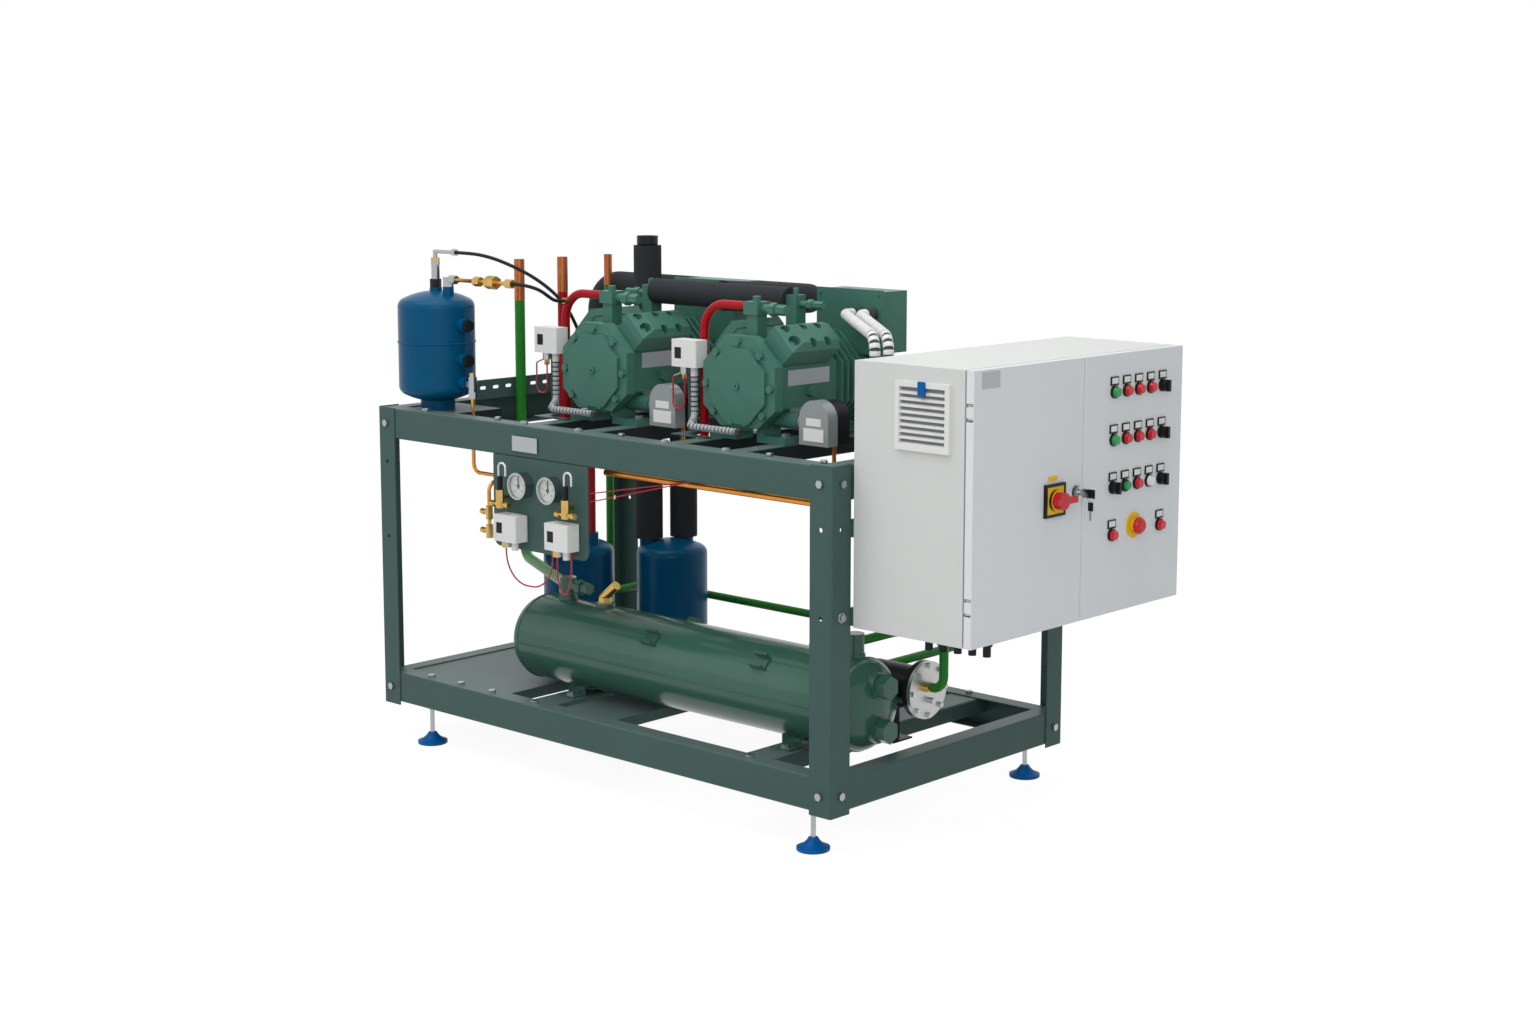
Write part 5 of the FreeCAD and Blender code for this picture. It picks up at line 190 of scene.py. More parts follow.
# %% Finish helper
def finish(name, colour, rough=0.4, drift=0.06, patch=4.0, grain=400.0, skin=0.1, metal=0.0,
           coat=0.0, dust=0.0, shine=0.18):
    """A material of one colour that drifts by a share, with a bumpy skin of a given grain."""
    made = bpy.data.materials.new(name)
    made.use_nodes = True
    made.diffuse_color = colour
    nodes_here, links = made.node_tree.nodes, made.node_tree.links
    shader = nodes_here["Principled BSDF"]
    shader.inputs["Metallic"].default_value = metal
    shader.inputs["Specular IOR Level"].default_value = shine
    shader.inputs["Coat Weight"].default_value = coat
    shader.inputs["Coat Roughness"].default_value = 0.12
    place = nodes_here.new("ShaderNodeTexCoord")
    cloud = nodes_here.new("ShaderNodeTexNoise")
    cloud.inputs["Scale"].default_value = patch
    cloud.inputs["Detail"].default_value = 6
    links.new(place.outputs["Object"], cloud.inputs["Vector"])
    ramp = nodes_here.new("ShaderNodeValToRGB")
    ramp.color_ramp.elements[0].position = 0.3
    ramp.color_ramp.elements[1].position = 0.7
    ramp.color_ramp.elements[0].color = [part * (1 - drift) for part in colour[:3]] + [1]
    ramp.color_ramp.elements[1].color = [min(part * (1 + drift), 1)
                                         for part in colour[:3]] + [1]
    links.new(cloud.outputs["Fac"], ramp.inputs["Fac"])
    tint = ramp.outputs["Color"]
    if dust:
        tint = dusted(nodes_here, links, tint, dust)
    links.new(tint, shader.inputs["Base Color"])
    spread = nodes_here.new("ShaderNodeMapRange")
    spread.inputs["To Min"].default_value = rough * 0.85
    spread.inputs["To Max"].default_value = min(rough * 1.15, 1)
    links.new(cloud.outputs["Fac"], spread.inputs["Value"])
    links.new(spread.outputs["Result"], shader.inputs["Roughness"])
    pores = nodes_here.new("ShaderNodeTexNoise")
    pores.inputs["Scale"].default_value = grain
    pores.inputs["Detail"].default_value = 3
    links.new(place.outputs["Object"], pores.inputs["Vector"])
    bump = nodes_here.new("ShaderNodeBump")
    bump.inputs["Strength"].default_value = skin
    bump.inputs["Distance"].default_value = 0.001
    links.new(pores.outputs["Fac"], bump.inputs["Height"])
    links.new(bump.outputs["Normal"], shader.inputs["Normal"])
    return made


def dusted(nodes_here, links, tint, amount):
    """Lays a thin pale film on faces that look up, as workshop dust does."""
    facing = nodes_here.new("ShaderNodeNewGeometry")
    parts = nodes_here.new("ShaderNodeSeparateXYZ")
    links.new(facing.outputs["Normal"], parts.inputs[0])
    up = nodes_here.new("ShaderNodeMapRange")
    up.inputs["From Min"].default_value = 0.6
    up.inputs["To Max"].default_value = amount
    links.new(parts.outputs["Z"], up.inputs["Value"])
    film = nodes_here.new("ShaderNodeMix")
    film.data_type = "RGBA"
    film.inputs["B"].default_value = shade(150, 158, 156)
    links.new(up.outputs["Result"], film.inputs["Factor"])
    links.new(tint, film.inputs["A"])
    return film.outputs["Result"]


# %% [markdown]
# Now the rack's own palette: a satin grey-green on the frame, a thicker semi-gloss green on the
# castings, gloss blue on the vessels, red and green for the hot gas and liquid lines, and
# bare brass, copper, zinc and foam.

# %% Paints
frame_paint = finish("frame_paint", shade(64, 90, 85), rough=0.42, drift=0.05, dust=0.2)
casting_paint = finish("casting_paint", shade(68, 115, 100), rough=0.36, drift=0.06,
                       patch=12, grain=260, skin=0.3)
receiver_paint = finish("receiver_paint", shade(54, 96, 82), rough=0.24, drift=0.06, skin=0.08,
                        coat=0.3)
vessel_paint = finish("vessel_paint", shade(0, 78, 116), rough=0.28, drift=0.08,
                      shine=0.12)
red_paint = finish("red_paint", shade(160, 12, 22), rough=0.3, shine=0.15)
green_paint = finish("green_paint", shade(36, 122, 40), rough=0.32, shine=0.15)
cabinet_paint = finish("cabinet_paint", shade(212, 213, 210), rough=0.5, drift=0.015,
                       grain=900, skin=0.2)
door_paint = finish("door_paint", shade(224, 227, 228), rough=0.5, drift=0.015, grain=900,
                    skin=0.2)
# Painted shade: a near-black paint that stands for the deep shadow on the walls of the deck's
# bays. The frame itself is the same green all round.
painted_bay_shade = finish("painted_bay_shade", shade(26, 36, 36), rough=0.7, drift=0.1)
black_paint = finish("black_paint", shade(28, 30, 33), rough=0.35)
print("paints ready")

# %% Metals
zinc = finish("zinc", shade(168, 172, 174), rough=0.3, drift=0.1, patch=60, metal=1.0)
bare_steel = finish("bare_steel", shade(150, 152, 155), rough=0.35, metal=1.0, patch=30)
chrome = finish("chrome", shade(172, 176, 180), rough=0.12, drift=0.02, metal=1.0, skin=0.02)
brass = finish("brass", shade(200, 168, 96), rough=0.28, drift=0.08, patch=40, metal=1.0)
copper = finish("copper", shade(178, 104, 62), rough=0.38, drift=0.18, patch=25, metal=0.9)
bright_copper = finish("bright_copper", shade(214, 140, 60), rough=0.3, drift=0.1, patch=20,
                       metal=0.9)
cast_aluminium = finish("cast_aluminium", shade(188, 190, 188), rough=0.35, drift=0.06,
                        patch=50, metal=0.9, grain=700, skin=0.2)
print("metals ready")

# %% Plastics and rubber
white_plastic = finish("white_plastic", shade(226, 226, 223), rough=0.4, drift=0.015)
black_plastic = finish("black_plastic", shade(24, 25, 27), rough=0.42, drift=0.1)
grey_plastic = finish("grey_plastic", shade(128, 132, 135), rough=0.5)
blue_plastic = finish("blue_plastic", shade(0, 92, 162), rough=0.42, drift=0.06, shine=0.15)
red_plastic = finish("red_plastic", shade(196, 24, 36), rough=0.3, coat=0.3)
green_plastic = finish("green_plastic", shade(40, 150, 84), rough=0.3, coat=0.3)
yellow_plastic = finish("yellow_plastic", shade(240, 194, 36), rough=0.4)
window_dark = finish("window_dark", shade(142, 147, 149), rough=0.15, coat=0.8)
foam = finish("foam", shade(44, 47, 51), rough=0.85, drift=0.1, patch=9, grain=900, skin=0.5)
rubber = finish("rubber", shade(30, 31, 33), rough=0.6, drift=0.1, grain=1200, skin=0.5)
capillary_red = finish("capillary_red", shade(176, 24, 40), rough=0.35, coat=0.3)
label_white = finish("label_white", shade(232, 232, 228), rough=0.5, drift=0.01)
plate_silver = finish("plate_silver", shade(180, 184, 186), rough=0.4, drift=0.03, metal=0.3)
dial_white = finish("dial_white", shade(236, 236, 230), rough=0.5, drift=0.01)
print_black = finish("print_black", shade(26, 26, 28), rough=0.5)
filter_white = finish("filter_white", shade(126, 128, 128), rough=0.9, grain=1500, skin=0.4)
dark_rib = finish("dark_rib", shade(66, 68, 72), rough=0.5)
conduit_grey = finish("conduit_grey", shade(176, 180, 184), rough=0.38, drift=0.05)
red_lens = finish("red_lens", shade(205, 22, 34), rough=0.25, coat=0.5)
green_lens = finish("green_lens", shade(36, 150, 84), rough=0.25, coat=0.5)
white_lens = finish("white_lens", shade(228, 230, 230), rough=0.25, coat=0.5)
lens_glass = finish("lens_glass", shade(250, 252, 252), rough=0.03, drift=0.0, skin=0.0)
lens_glass.node_tree.nodes["Principled BSDF"].inputs["Transmission Weight"].default_value = 1.0
print("plastics ready")

# %% [markdown]
# A node of the CAD model often holds several real pieces, such as a foot's blue pad and its
# zinc stem. The helper gives such a node a list of materials and picks one for each face by a
# rule on where the face lies, so the mesh itself stays as it is. Rules see a face's middle in
# metres of the part's frame, and the first one that fits wins.


# %% Dressing helper
def dress(name, base, *rules):
    """Gives a node a base material, and others to the faces whose middle passes a test."""
    data = nodes[name].data
    data.materials.clear()
    for made in (base, *[rule[0] for rule in rules]):
        data.materials.append(made)
    picked = 0
    for face in data.polygons:
        for number, (made, test) in enumerate(rules, start=1):
            if test(face.center, face.normal):
                face.material_index = number
                picked += 1
                break
        else:
            face.material_index = 0
    print(name, "has", len(data.polygons), "faces,", picked, "picked out")


def spot(x, y, z):
    """A point of the rack's own drawing, in millimetres from the front left post's foot."""
    return Vector(((x - 152) * MM, (y - 38) * MM, (z + 95) * MM))


# %% Frame
for name in ("post_front_left", "post_front_right", "post_rear_left", "post_rear_right",
             "bottom_rails", "bottom_crossmembers", "base_sheet", "cabinet_brackets",
             "gauge_panel"):
    dress(name, frame_paint)
WELL_X, WELL_Y, DECK_TOP = (0.0, 1.4), (0.0, 0.838), 0.8895


def inside_well(at, facing):
    """True for the walls of the deck's open bays, which get painted shade: a near-black paint
    that stands for the deep shadow there.
    """
    return (WELL_X[0] < at.x < WELL_X[1] and WELL_Y[0] < at.y < WELL_Y[1]
            and at.z < DECK_TOP and facing.z < 0.5)


# The bays' walls below the deck top get the painted shade in place of the frame's green.
for name in ("top_rails", "top_crossmembers"):
    dress(name, frame_paint, (painted_bay_shade, inside_well))
dress("frame_bolts", zinc)
PAD_TOP = 0.034
dress("levelling_feet", zinc, (blue_plastic, lambda at, facing: at.z < PAD_TOP))

# %% Vessels
for name in ("receiver_shell", "receiver_saddles"):
    dress(name, receiver_paint)
RELIEF_LOW, RELIEF_HIGH = 0.455, 0.54
dress("receiver_fittings", receiver_paint,
      (brass, lambda at, facing: RELIEF_LOW < at.x < RELIEF_HIGH))
dress("drier_shell", black_paint)
COVER_FACE, COVER_MIDDLE, COVER_REACH = 1.4145, (0.348, 0.317), 0.04
COVER_BRASS_Z = 0.31


def near_cover_middle(at):
    """True for the fittings in the middle of the drier's cover."""
    reach = math.hypot(at.y - COVER_MIDDLE[0], at.z - COVER_MIDDLE[1])
    return at.x > COVER_FACE and reach < COVER_REACH


dress("drier_cover", cast_aluminium,
      (brass, lambda at, facing: near_cover_middle(at) and at.z > COVER_BRASS_Z))
for name in ("oil_reservoir", "oil_separator", "suction_accumulator"):
    dress(name, vessel_paint)

# %% Compressors
for name in ("crankcase_left", "crankcase_right", "end_covers", "cylinder_heads",
             "service_valves", "terminal_boxes"):
    dress(name, casting_paint)
for name in ("rotor_left", "rotor_right", "stators"):
    dress(name, bare_steel)
WINDOW_BACK, STUB_ENDS, STUB_LENGTH = 0.1995, (0.642, 1.142), 0.006
dress("oil_regulators", window_dark,
      (casting_paint, lambda at, facing: any(end - STUB_LENGTH < at.x < end
                                               for end in STUB_ENDS)),
      (black_plastic, lambda at, facing: at.y > WINDOW_BACK))

# %% Pipes
dress("liquid_pipe", green_paint)
dress("discharge_pipe", red_paint)
FOAM_TOP = 1.3095
dress("suction_pipe", foam, (black_paint, lambda at, facing: at.z > FOAM_TOP))
SIDE_TUBE_Y, SIDE_TUBE_Z, SIDE_TUBE_REACH = 0.062, 1.232, 0.0055
TOP_VALVE_X, TOP_VALVE_LOW, TOP_VALVE_HIGH, NUT_TOP = 0.01, 1.2375, 1.2765, 1.293
FITTINGS_LOW, MANIFOLD_X, MANIFOLD_TOP = 1.2, 0.6, 0.905
SIGHT_GLASS_X, SIGHT_GLASS_LOW = (0.094, 0.108), 1.0


def chrome_part(at):
    """The plated fittings on the reservoir's top, and its outlet valve."""
    elbow = at.z > 1.268 and at.x < 0.06
    side_fitting = at.z > FITTINGS_LOW and 0.02 < at.x < 0.062
    outlet_valve = at.x < 0.13 and 0.925 < at.z < 0.99
    return elbow or side_fitting or outlet_valve


def copper_part(at):
    """The bent oil tubes and the manifold under the deck."""
    reach = math.hypot(at.y - SIDE_TUBE_Y, at.z - SIDE_TUBE_Z)
    side_tube = reach < SIDE_TUBE_REACH and at.x > 0.05
    manifold = at.x > MANIFOLD_X and at.z < MANIFOLD_TOP
    return side_tube or at.z < 0.835 or manifold


def top_valve_part(at, low, high):
    """True between two heights of the valve that stands on the reservoir."""
    return at.x < TOP_VALVE_X and low < at.z < high


dress("oil_lines", brass,
      (black_plastic, lambda at, facing: SIGHT_GLASS_X[0] < at.x < SIGHT_GLASS_X[1]
       and at.z > SIGHT_GLASS_LOW),
      (black_plastic, lambda at, facing: top_valve_part(at, FITTINGS_LOW, TOP_VALVE_LOW)),
      (brass, lambda at, facing: top_valve_part(at, TOP_VALVE_HIGH, NUT_TOP)),
      (chrome, lambda at, facing: top_valve_part(at, TOP_VALVE_LOW, TOP_VALVE_HIGH)),
      (chrome, lambda at, facing: chrome_part(at)),
      (bright_copper, lambda at, facing: copper_part(at)))
PANEL_VALVES = (0.360, 0.603)
CAP_FOOT, CAP_TOP, STRAP_REACH = 0.7285, 0.7645, (0.012, 0.03)
LOOP_TOP, LOOP_LEFT = 0.6045, 0.3
# The gauge panel's parts stay below the first limit and in front of the second one; what lies
# beyond belongs to the switches at the compressors.
PANEL_LIMIT_Z, SWITCH_Y, SWITCH_NUT = 1.0, 0.1, (1.0285, 1.0435)


def strap_part(at):
    """The pale straps that hold the panel valves' caps."""
    return at.z > CAP_TOP or (at.z > CAP_FOOT and any(
        STRAP_REACH[0] < at.x - line < STRAP_REACH[1] for line in PANEL_VALVES))


dress("gauge_lines", brass,
      (capillary_red, lambda at, facing: at.z < LOOP_TOP and at.x > LOOP_LEFT),
      (capillary_red, lambda at, facing: at.y > SWITCH_Y
       and not SWITCH_NUT[0] < at.z < SWITCH_NUT[1]),
      (white_plastic, lambda at, facing: at.z < PANEL_LIMIT_Z and strap_part(at)),
      (black_plastic, lambda at, facing: CAP_FOOT < at.z < PANEL_LIMIT_Z))
GLANDS_X = 1.6
dress("conduits", dark_rib, (black_plastic, lambda at, facing: at.x > GLANDS_X))

# %% Instruments
GAUGES = (0.428, 0.537)
GAUGE_Z, DIAL_Y = 0.745, -0.056
DIAL_RADIUS = 0.029


def on_dial(at, facing):
    """True for the flat floor of a gauge's well."""
    return facing.y < -0.9 and abs(at.y - DIAL_Y) < 0.0008


dress("gauge_cases", chrome, (dial_white, on_dial))
for name in ("gauge_needle_left", "gauge_needle_right"):
    dress(name, black_plastic)
SWITCH_FRONTS = (-0.079, 0.137)


def in_switch_window(at, facing):
    """True for the floor of a pressure switch's window."""
    return facing.y < -0.9 and any(abs(at.y - front - 0.002) < 0.0004 for front in SWITCH_FRONTS)


BELLOWS_LEFT, BELLOWS_RIGHT, BELLOWS_TOP = 0.017, 0.033, 0.6025
PANEL_SWITCHES = (0.353, 0.543)
COMPRESSOR_PITCH = 0.5


def on_bellows(at, facing):
    """True for the brass bellows that hang under a switch on the panel."""
    return at.y < 0 and at.z < BELLOWS_TOP and any(
        BELLOWS_LEFT < at.x - left < BELLOWS_RIGHT for left in PANEL_SWITCHES)


def on_bracket(at, facing):
    """True for the upright bracket that carries a compressor's switch."""
    return at.y > SWITCH_Y and (at.z < 1.03 or at.y > 0.1813)


def on_upper_bellows(at, facing):
    """True for the bellows under a compressor's switch; both compressors share the rule."""
    return at.y > SWITCH_Y and at.z < 1.056 and 0.281 < at.x % COMPRESSOR_PITCH < 0.31


dress("pressure_switches", white_plastic,
      (brass, on_bellows),
      (black_plastic, in_switch_window),
      (frame_paint, on_bracket),
      (zinc, on_upper_bellows))

# %% [markdown]
# The control devices on the right-hand door stand on a grid of five columns and four rows. Each
# lamp's colour is looked up by its place on that grid: green for running, red for a fault and
# white for the supply.

# %% Cabinet
COLUMN_FIRST, COLUMN_PITCH = 0.545, 0.049
ROW_FIRST, ROW_PITCH = 1.039, 0.110
LENS_START = 1.7942
LENSES = {(0, 0): green_lens, (0, 1): green_lens, (3, 2): white_lens}


def grid_cell(at):
    """The column and row of the device that a point belongs to."""
    return (round((at.y - COLUMN_FIRST) / COLUMN_PITCH),
            round((ROW_FIRST - at.z) / ROW_PITCH))


def is_lens(at, wanted):
    """True for the lens of a lamp whose colour is the wanted one."""
    return at.x > LENS_START and LENSES.get(grid_cell(at), red_lens) == wanted


dress("pilot_lights", black_plastic,
      *[(lens, lambda at, facing, lens=lens: is_lens(at, lens))
        for lens in (green_lens, white_lens, red_lens)])
ESTOP_PLATE_LOW, ESTOP_PLATE_HIGH = (0.604, 0.690), (0.666, 0.752)


def on_estop_plate(at):
    """True for the yellow plate behind the emergency stop."""
    return (ESTOP_PLATE_LOW[0] < at.y < ESTOP_PLATE_HIGH[0]
            and ESTOP_PLATE_LOW[1] < at.z < ESTOP_PLATE_HIGH[1])


dress("legend_plates", black_plastic,
      (yellow_plastic, lambda at, facing: on_estop_plate(at)))
dress("cabinet_shell", cabinet_paint)
for name in ("door_left", "door_right"):
    dress(name, door_paint)
dress("hinge_pins", zinc)
MOUNTING_PLATE_FACE, CONTACTOR_FACE = 1.4735, 1.558
dress("switchgear", grey_plastic,
      (zinc, lambda at, facing: at.x < MOUNTING_PLATE_FACE),
      (black_plastic, lambda at, facing: at.x > CONTACTOR_FACE))
dress("vent_grille", white_plastic)
SWITCH_FACE, LOCK_Y, KEY_HEAD_X = 1.7935, 0.36, 1.8185
dress("switch_plate", black_plastic,
      (yellow_plastic, lambda at, facing: facing.x > 0.9 and at.x > SWITCH_FACE
       and at.y < LOCK_Y),
      (chrome, lambda at, facing: at.x > SWITCH_FACE and at.y > LOCK_Y))
dress("switch_handle", red_plastic)
dress("lock_key", chrome, (black_plastic, lambda at, facing: at.x > KEY_HEAD_X))
for number in range(1, 5):
    dress(f"selector_{number}", black_plastic)
dress("start_button", green_plastic)
dress("estop_button", red_plastic)

# %% [markdown]
# The rest is small trim that the CAD model leaves to this script: plates, labels, seams, dial
# prints and the ribs of the conduits. Each piece starts as a primitive in its place, is shaped,
# has its transform applied, and is fixed to the body that it belongs to.


# %% Trim helpers
def settle(thing, name, made, body):
    """Names a new piece, bakes its place into its mesh, and fixes it to a body."""
    bpy.ops.object.select_all(action="DESELECT")
    thing.select_set(True)
    bpy.context.view_layer.objects.active = thing
    bpy.ops.object.transform_apply(location=True, rotation=True, scale=True)
    thing.name = name
    thing.data.materials.clear()
    thing.data.materials.append(made)
    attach(thing, body)
    return thing


def soften(thing, width, segments=2):
    """A small bevel on every sharp edge, applied."""
    bevel = thing.modifiers.new("soft", "BEVEL")
    bevel.limit_method = "ANGLE"
    bevel.angle_limit = math.radians(25)
    bevel.width = width
    bevel.segments = segments
    bpy.context.view_layer.objects.active = thing
    bpy.ops.object.modifier_apply(modifier="soft")


def slab(low, high, bevel=0.12):
    """A box between two corners in millimetres of the part's frame."""
    low, high = Vector(low) * MM, Vector(high) * MM
    bpy.ops.mesh.primitive_cube_add(size=1, location=(low + high) / 2)
    thing = bpy.context.object
    thing.scale = high - low
    bpy.ops.object.transform_apply(location=False, rotation=False, scale=True)
    soften(thing, bevel * MM)
    return thing


def join(things):
    """Several new pieces made one."""
    bpy.ops.object.select_all(action="DESELECT")
    for thing in things:
        thing.select_set(True)
    bpy.context.view_layer.objects.active = things[0]
    bpy.ops.object.join()
    return things[0]


def copies(first, matrices):
    """The first piece and its copies at other places, joined; each copy has its own mesh."""
    things = []
    for matrix in matrices:
        twin = first.copy()
        twin.data = first.data.copy()
        twin.matrix_world = matrix
        bpy.context.scene.collection.objects.link(twin)
        things.append(twin)
    bpy.data.objects.remove(first)
    return join(things)


RACK, LEFT_DOOR, RIGHT_DOOR = "rack", "left_door", "right_door"

# %% Blank plates
settle(slab((384, -39, 828), (477, -38, 866), 0.3), "rail_plate", plate_silver, RACK)
settle(slab((1107, 191, 1027), (1107.8, 337, 1064), 0.3), "case_plate_right", plate_silver,
       RACK)
settle(slab((607, 197, 1033), (607.8, 302, 1071), 0.3), "case_plate_left", plate_silver, RACK)
settle(slab((1788, 53, 1085), (1788.6, 117, 1121), 0.2), "door_plate", plate_silver, LEFT_DOOR)
settle(slab((1788, 296, 860), (1788.6, 331, 871)), "switch_tag", yellow_plastic, LEFT_DOOR)
for number, left in enumerate((666, 1166)):
    labels = [slab((left + 14, 164.2, 908), (left + 76, 165, 938)),
              slab((left + 22, 164.2, 944), (left + 68, 165, 962))]
    settle(join(labels), f"regulator_labels_{number}", label_white, RACK)
print("plates are blank")

# %% Legend labels
legend_spots = [(column, line) for line in (0, 1) for column in range(5)]
legend_spots += [(0, 2), (1, 2), (2, 2), (3, 2), (4, 2), (0, 3), (4, 3)]
LABEL_RISE = 25
labels = []
for column, line in legend_spots:
    y = (COLUMN_FIRST + column * COLUMN_PITCH) / MM
    z = (ROW_FIRST - line * ROW_PITCH) / MM + LABEL_RISE
    labels.append(slab((1791, y - 12, z - 6), (1791.5, y + 12, z + 7)))
settle(join(labels), "legend_labels", label_white, RIGHT_DOOR)
print(len(legend_spots), "legend labels")

# %% Main switch border and hanging key
border = [slab((1794, 281, 780), (1795.2, 355, 786)), slab((1794, 281, 848), (1795.2, 355, 854)),
          slab((1794, 281, 786), (1795.2, 287, 848)), slab((1794, 349, 786), (1795.2, 355, 848))]
settle(join(border), "switch_border", black_plastic, LEFT_DOOR)
loops = []
for y in (0.4024, 0.4036):
    bpy.ops.mesh.primitive_torus_add(major_radius=0.009, minor_radius=0.0006, major_segments=40,
                                     minor_segments=8, location=(1.829, y, 0.8165),
                                     rotation=(math.pi / 2, 0, 0))
    loops.append(bpy.context.object)
settle(join(loops), "key_ring", chrome, LEFT_DOOR)
settle(slab((1822, 401.5, 786), (1836, 404.5, 806), 1.5), "spare_key_head", black_plastic,
       LEFT_DOOR)
settle(slab((1826, 402.2, 764), (1832, 403.8, 786), 0.3), "spare_key_blade", chrome, LEFT_DOOR)

# %% [markdown]
# The grille has a pale filter mat behind its slats and a blue catch on its top edge.

# %% Grille
settle(slab((1592, 24.6, 956), (1714, 27, 1078)), "filter_mat", filter_white, RACK)
settle(slab((1644, 13, 1062), (1664, 19, 1094), 2), "grille_catch", blue_plastic, RACK)

# %% [markdown]
# A dial's print is a ring of ticks with a number at every fifth one. One short bar is modelled,
# copied round the dial, and joined to the numbers, which are text turned into mesh.

# %% Dials
TICKS, SWEEP, TICKS_PER_NUMBER = 26, 270, 5
TICK_END, NUMBER_REACH, NUMBER_SIZE = 26.5, 0.017, 0.0062
GLASS_Y, GLASS_DEPTH = -0.0636, 0.001
SCALE_STEPS = {"left": (0, 2, 4, 6, 8, 10), "right": (0, 5, 10, 15, 20, 25)}
PRINT_Y = DIAL_Y - 0.0004


def dial_print(side, middle_x):
    """Ticks and numbers just in front of one gauge's dial."""
    things = []
    for number in range(TICKS):
        angle = math.radians(SWEEP / 2 - number * SWEEP / (TICKS - 1))
        major = number % TICKS_PER_NUMBER == 0
        long, half = (5.0, 0.5) if major else (3.0, 0.25)
        bar = slab((-half, -0.15, TICK_END - long), (half, 0.15, TICK_END))
        bar.matrix_world = Euler((0, -angle, 0)).to_matrix().to_4x4() @ bar.matrix_world
        bar.location += Vector((middle_x, PRINT_Y, GAUGE_Z))
        things.append(bar)
        if major:
            bpy.ops.object.text_add(
                location=(middle_x - NUMBER_REACH * math.sin(angle), PRINT_Y,
                          GAUGE_Z + NUMBER_REACH * math.cos(angle)),
                rotation=(math.pi / 2, 0, 0))
            words = bpy.context.object
            words.data.body = str(SCALE_STEPS[side][number // TICKS_PER_NUMBER])
            words.data.size = NUMBER_SIZE
            words.data.extrude = 0.0001
            words.data.align_x = "CENTER"
            words.data.align_y = "CENTER"
            bpy.ops.object.convert(target="MESH")
            things.append(bpy.context.object)
    return settle(join(things), f"dial_print_{side}", print_black, RACK)


for side, middle_x in zip(("left", "right"), GAUGES):
    dial_print(side, middle_x)
    bpy.ops.mesh.primitive_cylinder_add(vertices=64, radius=DIAL_RADIUS + 0.0002,
                                        depth=GLASS_DEPTH, location=(middle_x, GLASS_Y, GAUGE_Z),
                                        rotation=(math.pi / 2, 0, 0))
    glass = bpy.context.object
    soften(glass, 0.4 * MM)
    settle(glass, f"gauge_glass_{side}", lens_glass, RACK)
print("two dials")

# %% [markdown]
# Welds: one long seam on the front of the receiver's tube, a ring where each of its heads joins
# it, and a ring round the middle of the oil reservoir.


# %% Weld helper
RING_THICKNESS, BEADS_PER_MM, RIPPLE_DEPTH = 2.6, 1.6, 0.35


def ripple(thing, across, depth):
    """Draws in every second ring of a seam's vertices, which leaves a row of beads."""
    bpy.context.view_layer.objects.active = thing
    bpy.ops.object.mode_set(mode="EDIT")
    bpy.ops.mesh.select_all(action="DESELECT")
    bpy.ops.object.mode_set(mode="OBJECT")
    for vertex in thing.data.vertices:
        vertex.select = vertex.index // across % 2 == 0
    bpy.ops.object.mode_set(mode="EDIT")
    bpy.ops.transform.shrink_fatten(value=-depth * MM)
    bpy.ops.object.mode_set(mode="OBJECT")


def ring_weld(middle, radius, facing=(0, 0, 0)):
    """A closed seam round a vessel, in millimetres."""
    around = 8
    bpy.ops.mesh.primitive_torus_add(
        major_radius=radius * MM, minor_radius=RING_THICKNESS * MM,
        major_segments=int(radius * BEADS_PER_MM) * 2, minor_segments=around,
        location=Vector(middle) * MM, rotation=facing)
    ripple(bpy.context.object, around, RIPPLE_DEPTH)
    return bpy.context.object


# %% Weld seams
SEAM_LEFT, SEAM_RIGHT = 262, 1352
AXIS_Y, AXIS_Z, SHELL_RADIUS = 182, 303.5, 109.5
BEAD_LENGTH, BEAD_RADIUS = 5, 2.8
bpy.ops.mesh.primitive_cylinder_add(vertices=12, radius=BEAD_RADIUS * MM,
                                    depth=BEAD_LENGTH * MM)
bead = bpy.context.object
soften(bead, 0.7 * MM)
turned = Euler((0, math.pi / 2, 0)).to_matrix().to_4x4()
count = (SEAM_RIGHT - SEAM_LEFT) // BEAD_LENGTH
places = [Matrix.Translation(Vector((SEAM_LEFT + (number + 0.5) * BEAD_LENGTH,
                                     AXIS_Y - SHELL_RADIUS, AXIS_Z)) * MM) @ turned
          for number in range(count)]
seams = [copies(bead, places)]
for x in (SEAM_LEFT, SEAM_RIGHT):
    seams.append(ring_weld((x, AXIS_Y, AXIS_Z), SHELL_RADIUS, (0, math.pi / 2, 0)))
settle(join(seams), "receiver_welds", receiver_paint, RACK)
settle(ring_weld((-28, 62, 1068), 99.8), "reservoir_weld", vessel_paint, RACK)
print("welds done")

# %% [markdown]
# The paint stops short of the pipes' ends, where copper shows. A thin sleeve a hair wider than
# the pipe stands for that bare length.

# %% Bare pipe ends
SLEEVE_GAP, SLEEVE_WALL = 0.35, 1.2
SMOOTH_BELOW = math.radians(40)
STUBS = {"liquid_inlet": (-80, 394, 1268, 112, 28), "discharge_outlet": (20, 462, 1276, 95, 28),
         "liquid_outlet": (9, 642, 1276, 85, 22)}
for name, (x, y, top, length, across) in STUBS.items():
    bpy.ops.mesh.primitive_cylinder_add(vertices=48, radius=(across / 2 + SLEEVE_GAP) * MM,
                                        depth=length * MM, end_fill_type="NOTHING",
                                        location=(x * MM, y * MM, (top - length / 2) * MM))
    stub = bpy.context.object
    wall = stub.modifiers.new("wall", "SOLIDIFY")
    wall.thickness = SLEEVE_WALL * MM
    wall.offset = -1
    bpy.ops.object.modifier_apply(modifier="wall")
    bpy.ops.object.shade_smooth_by_angle(angle=SMOOTH_BELOW)
    settle(stub, name + "_end", copper, RACK)

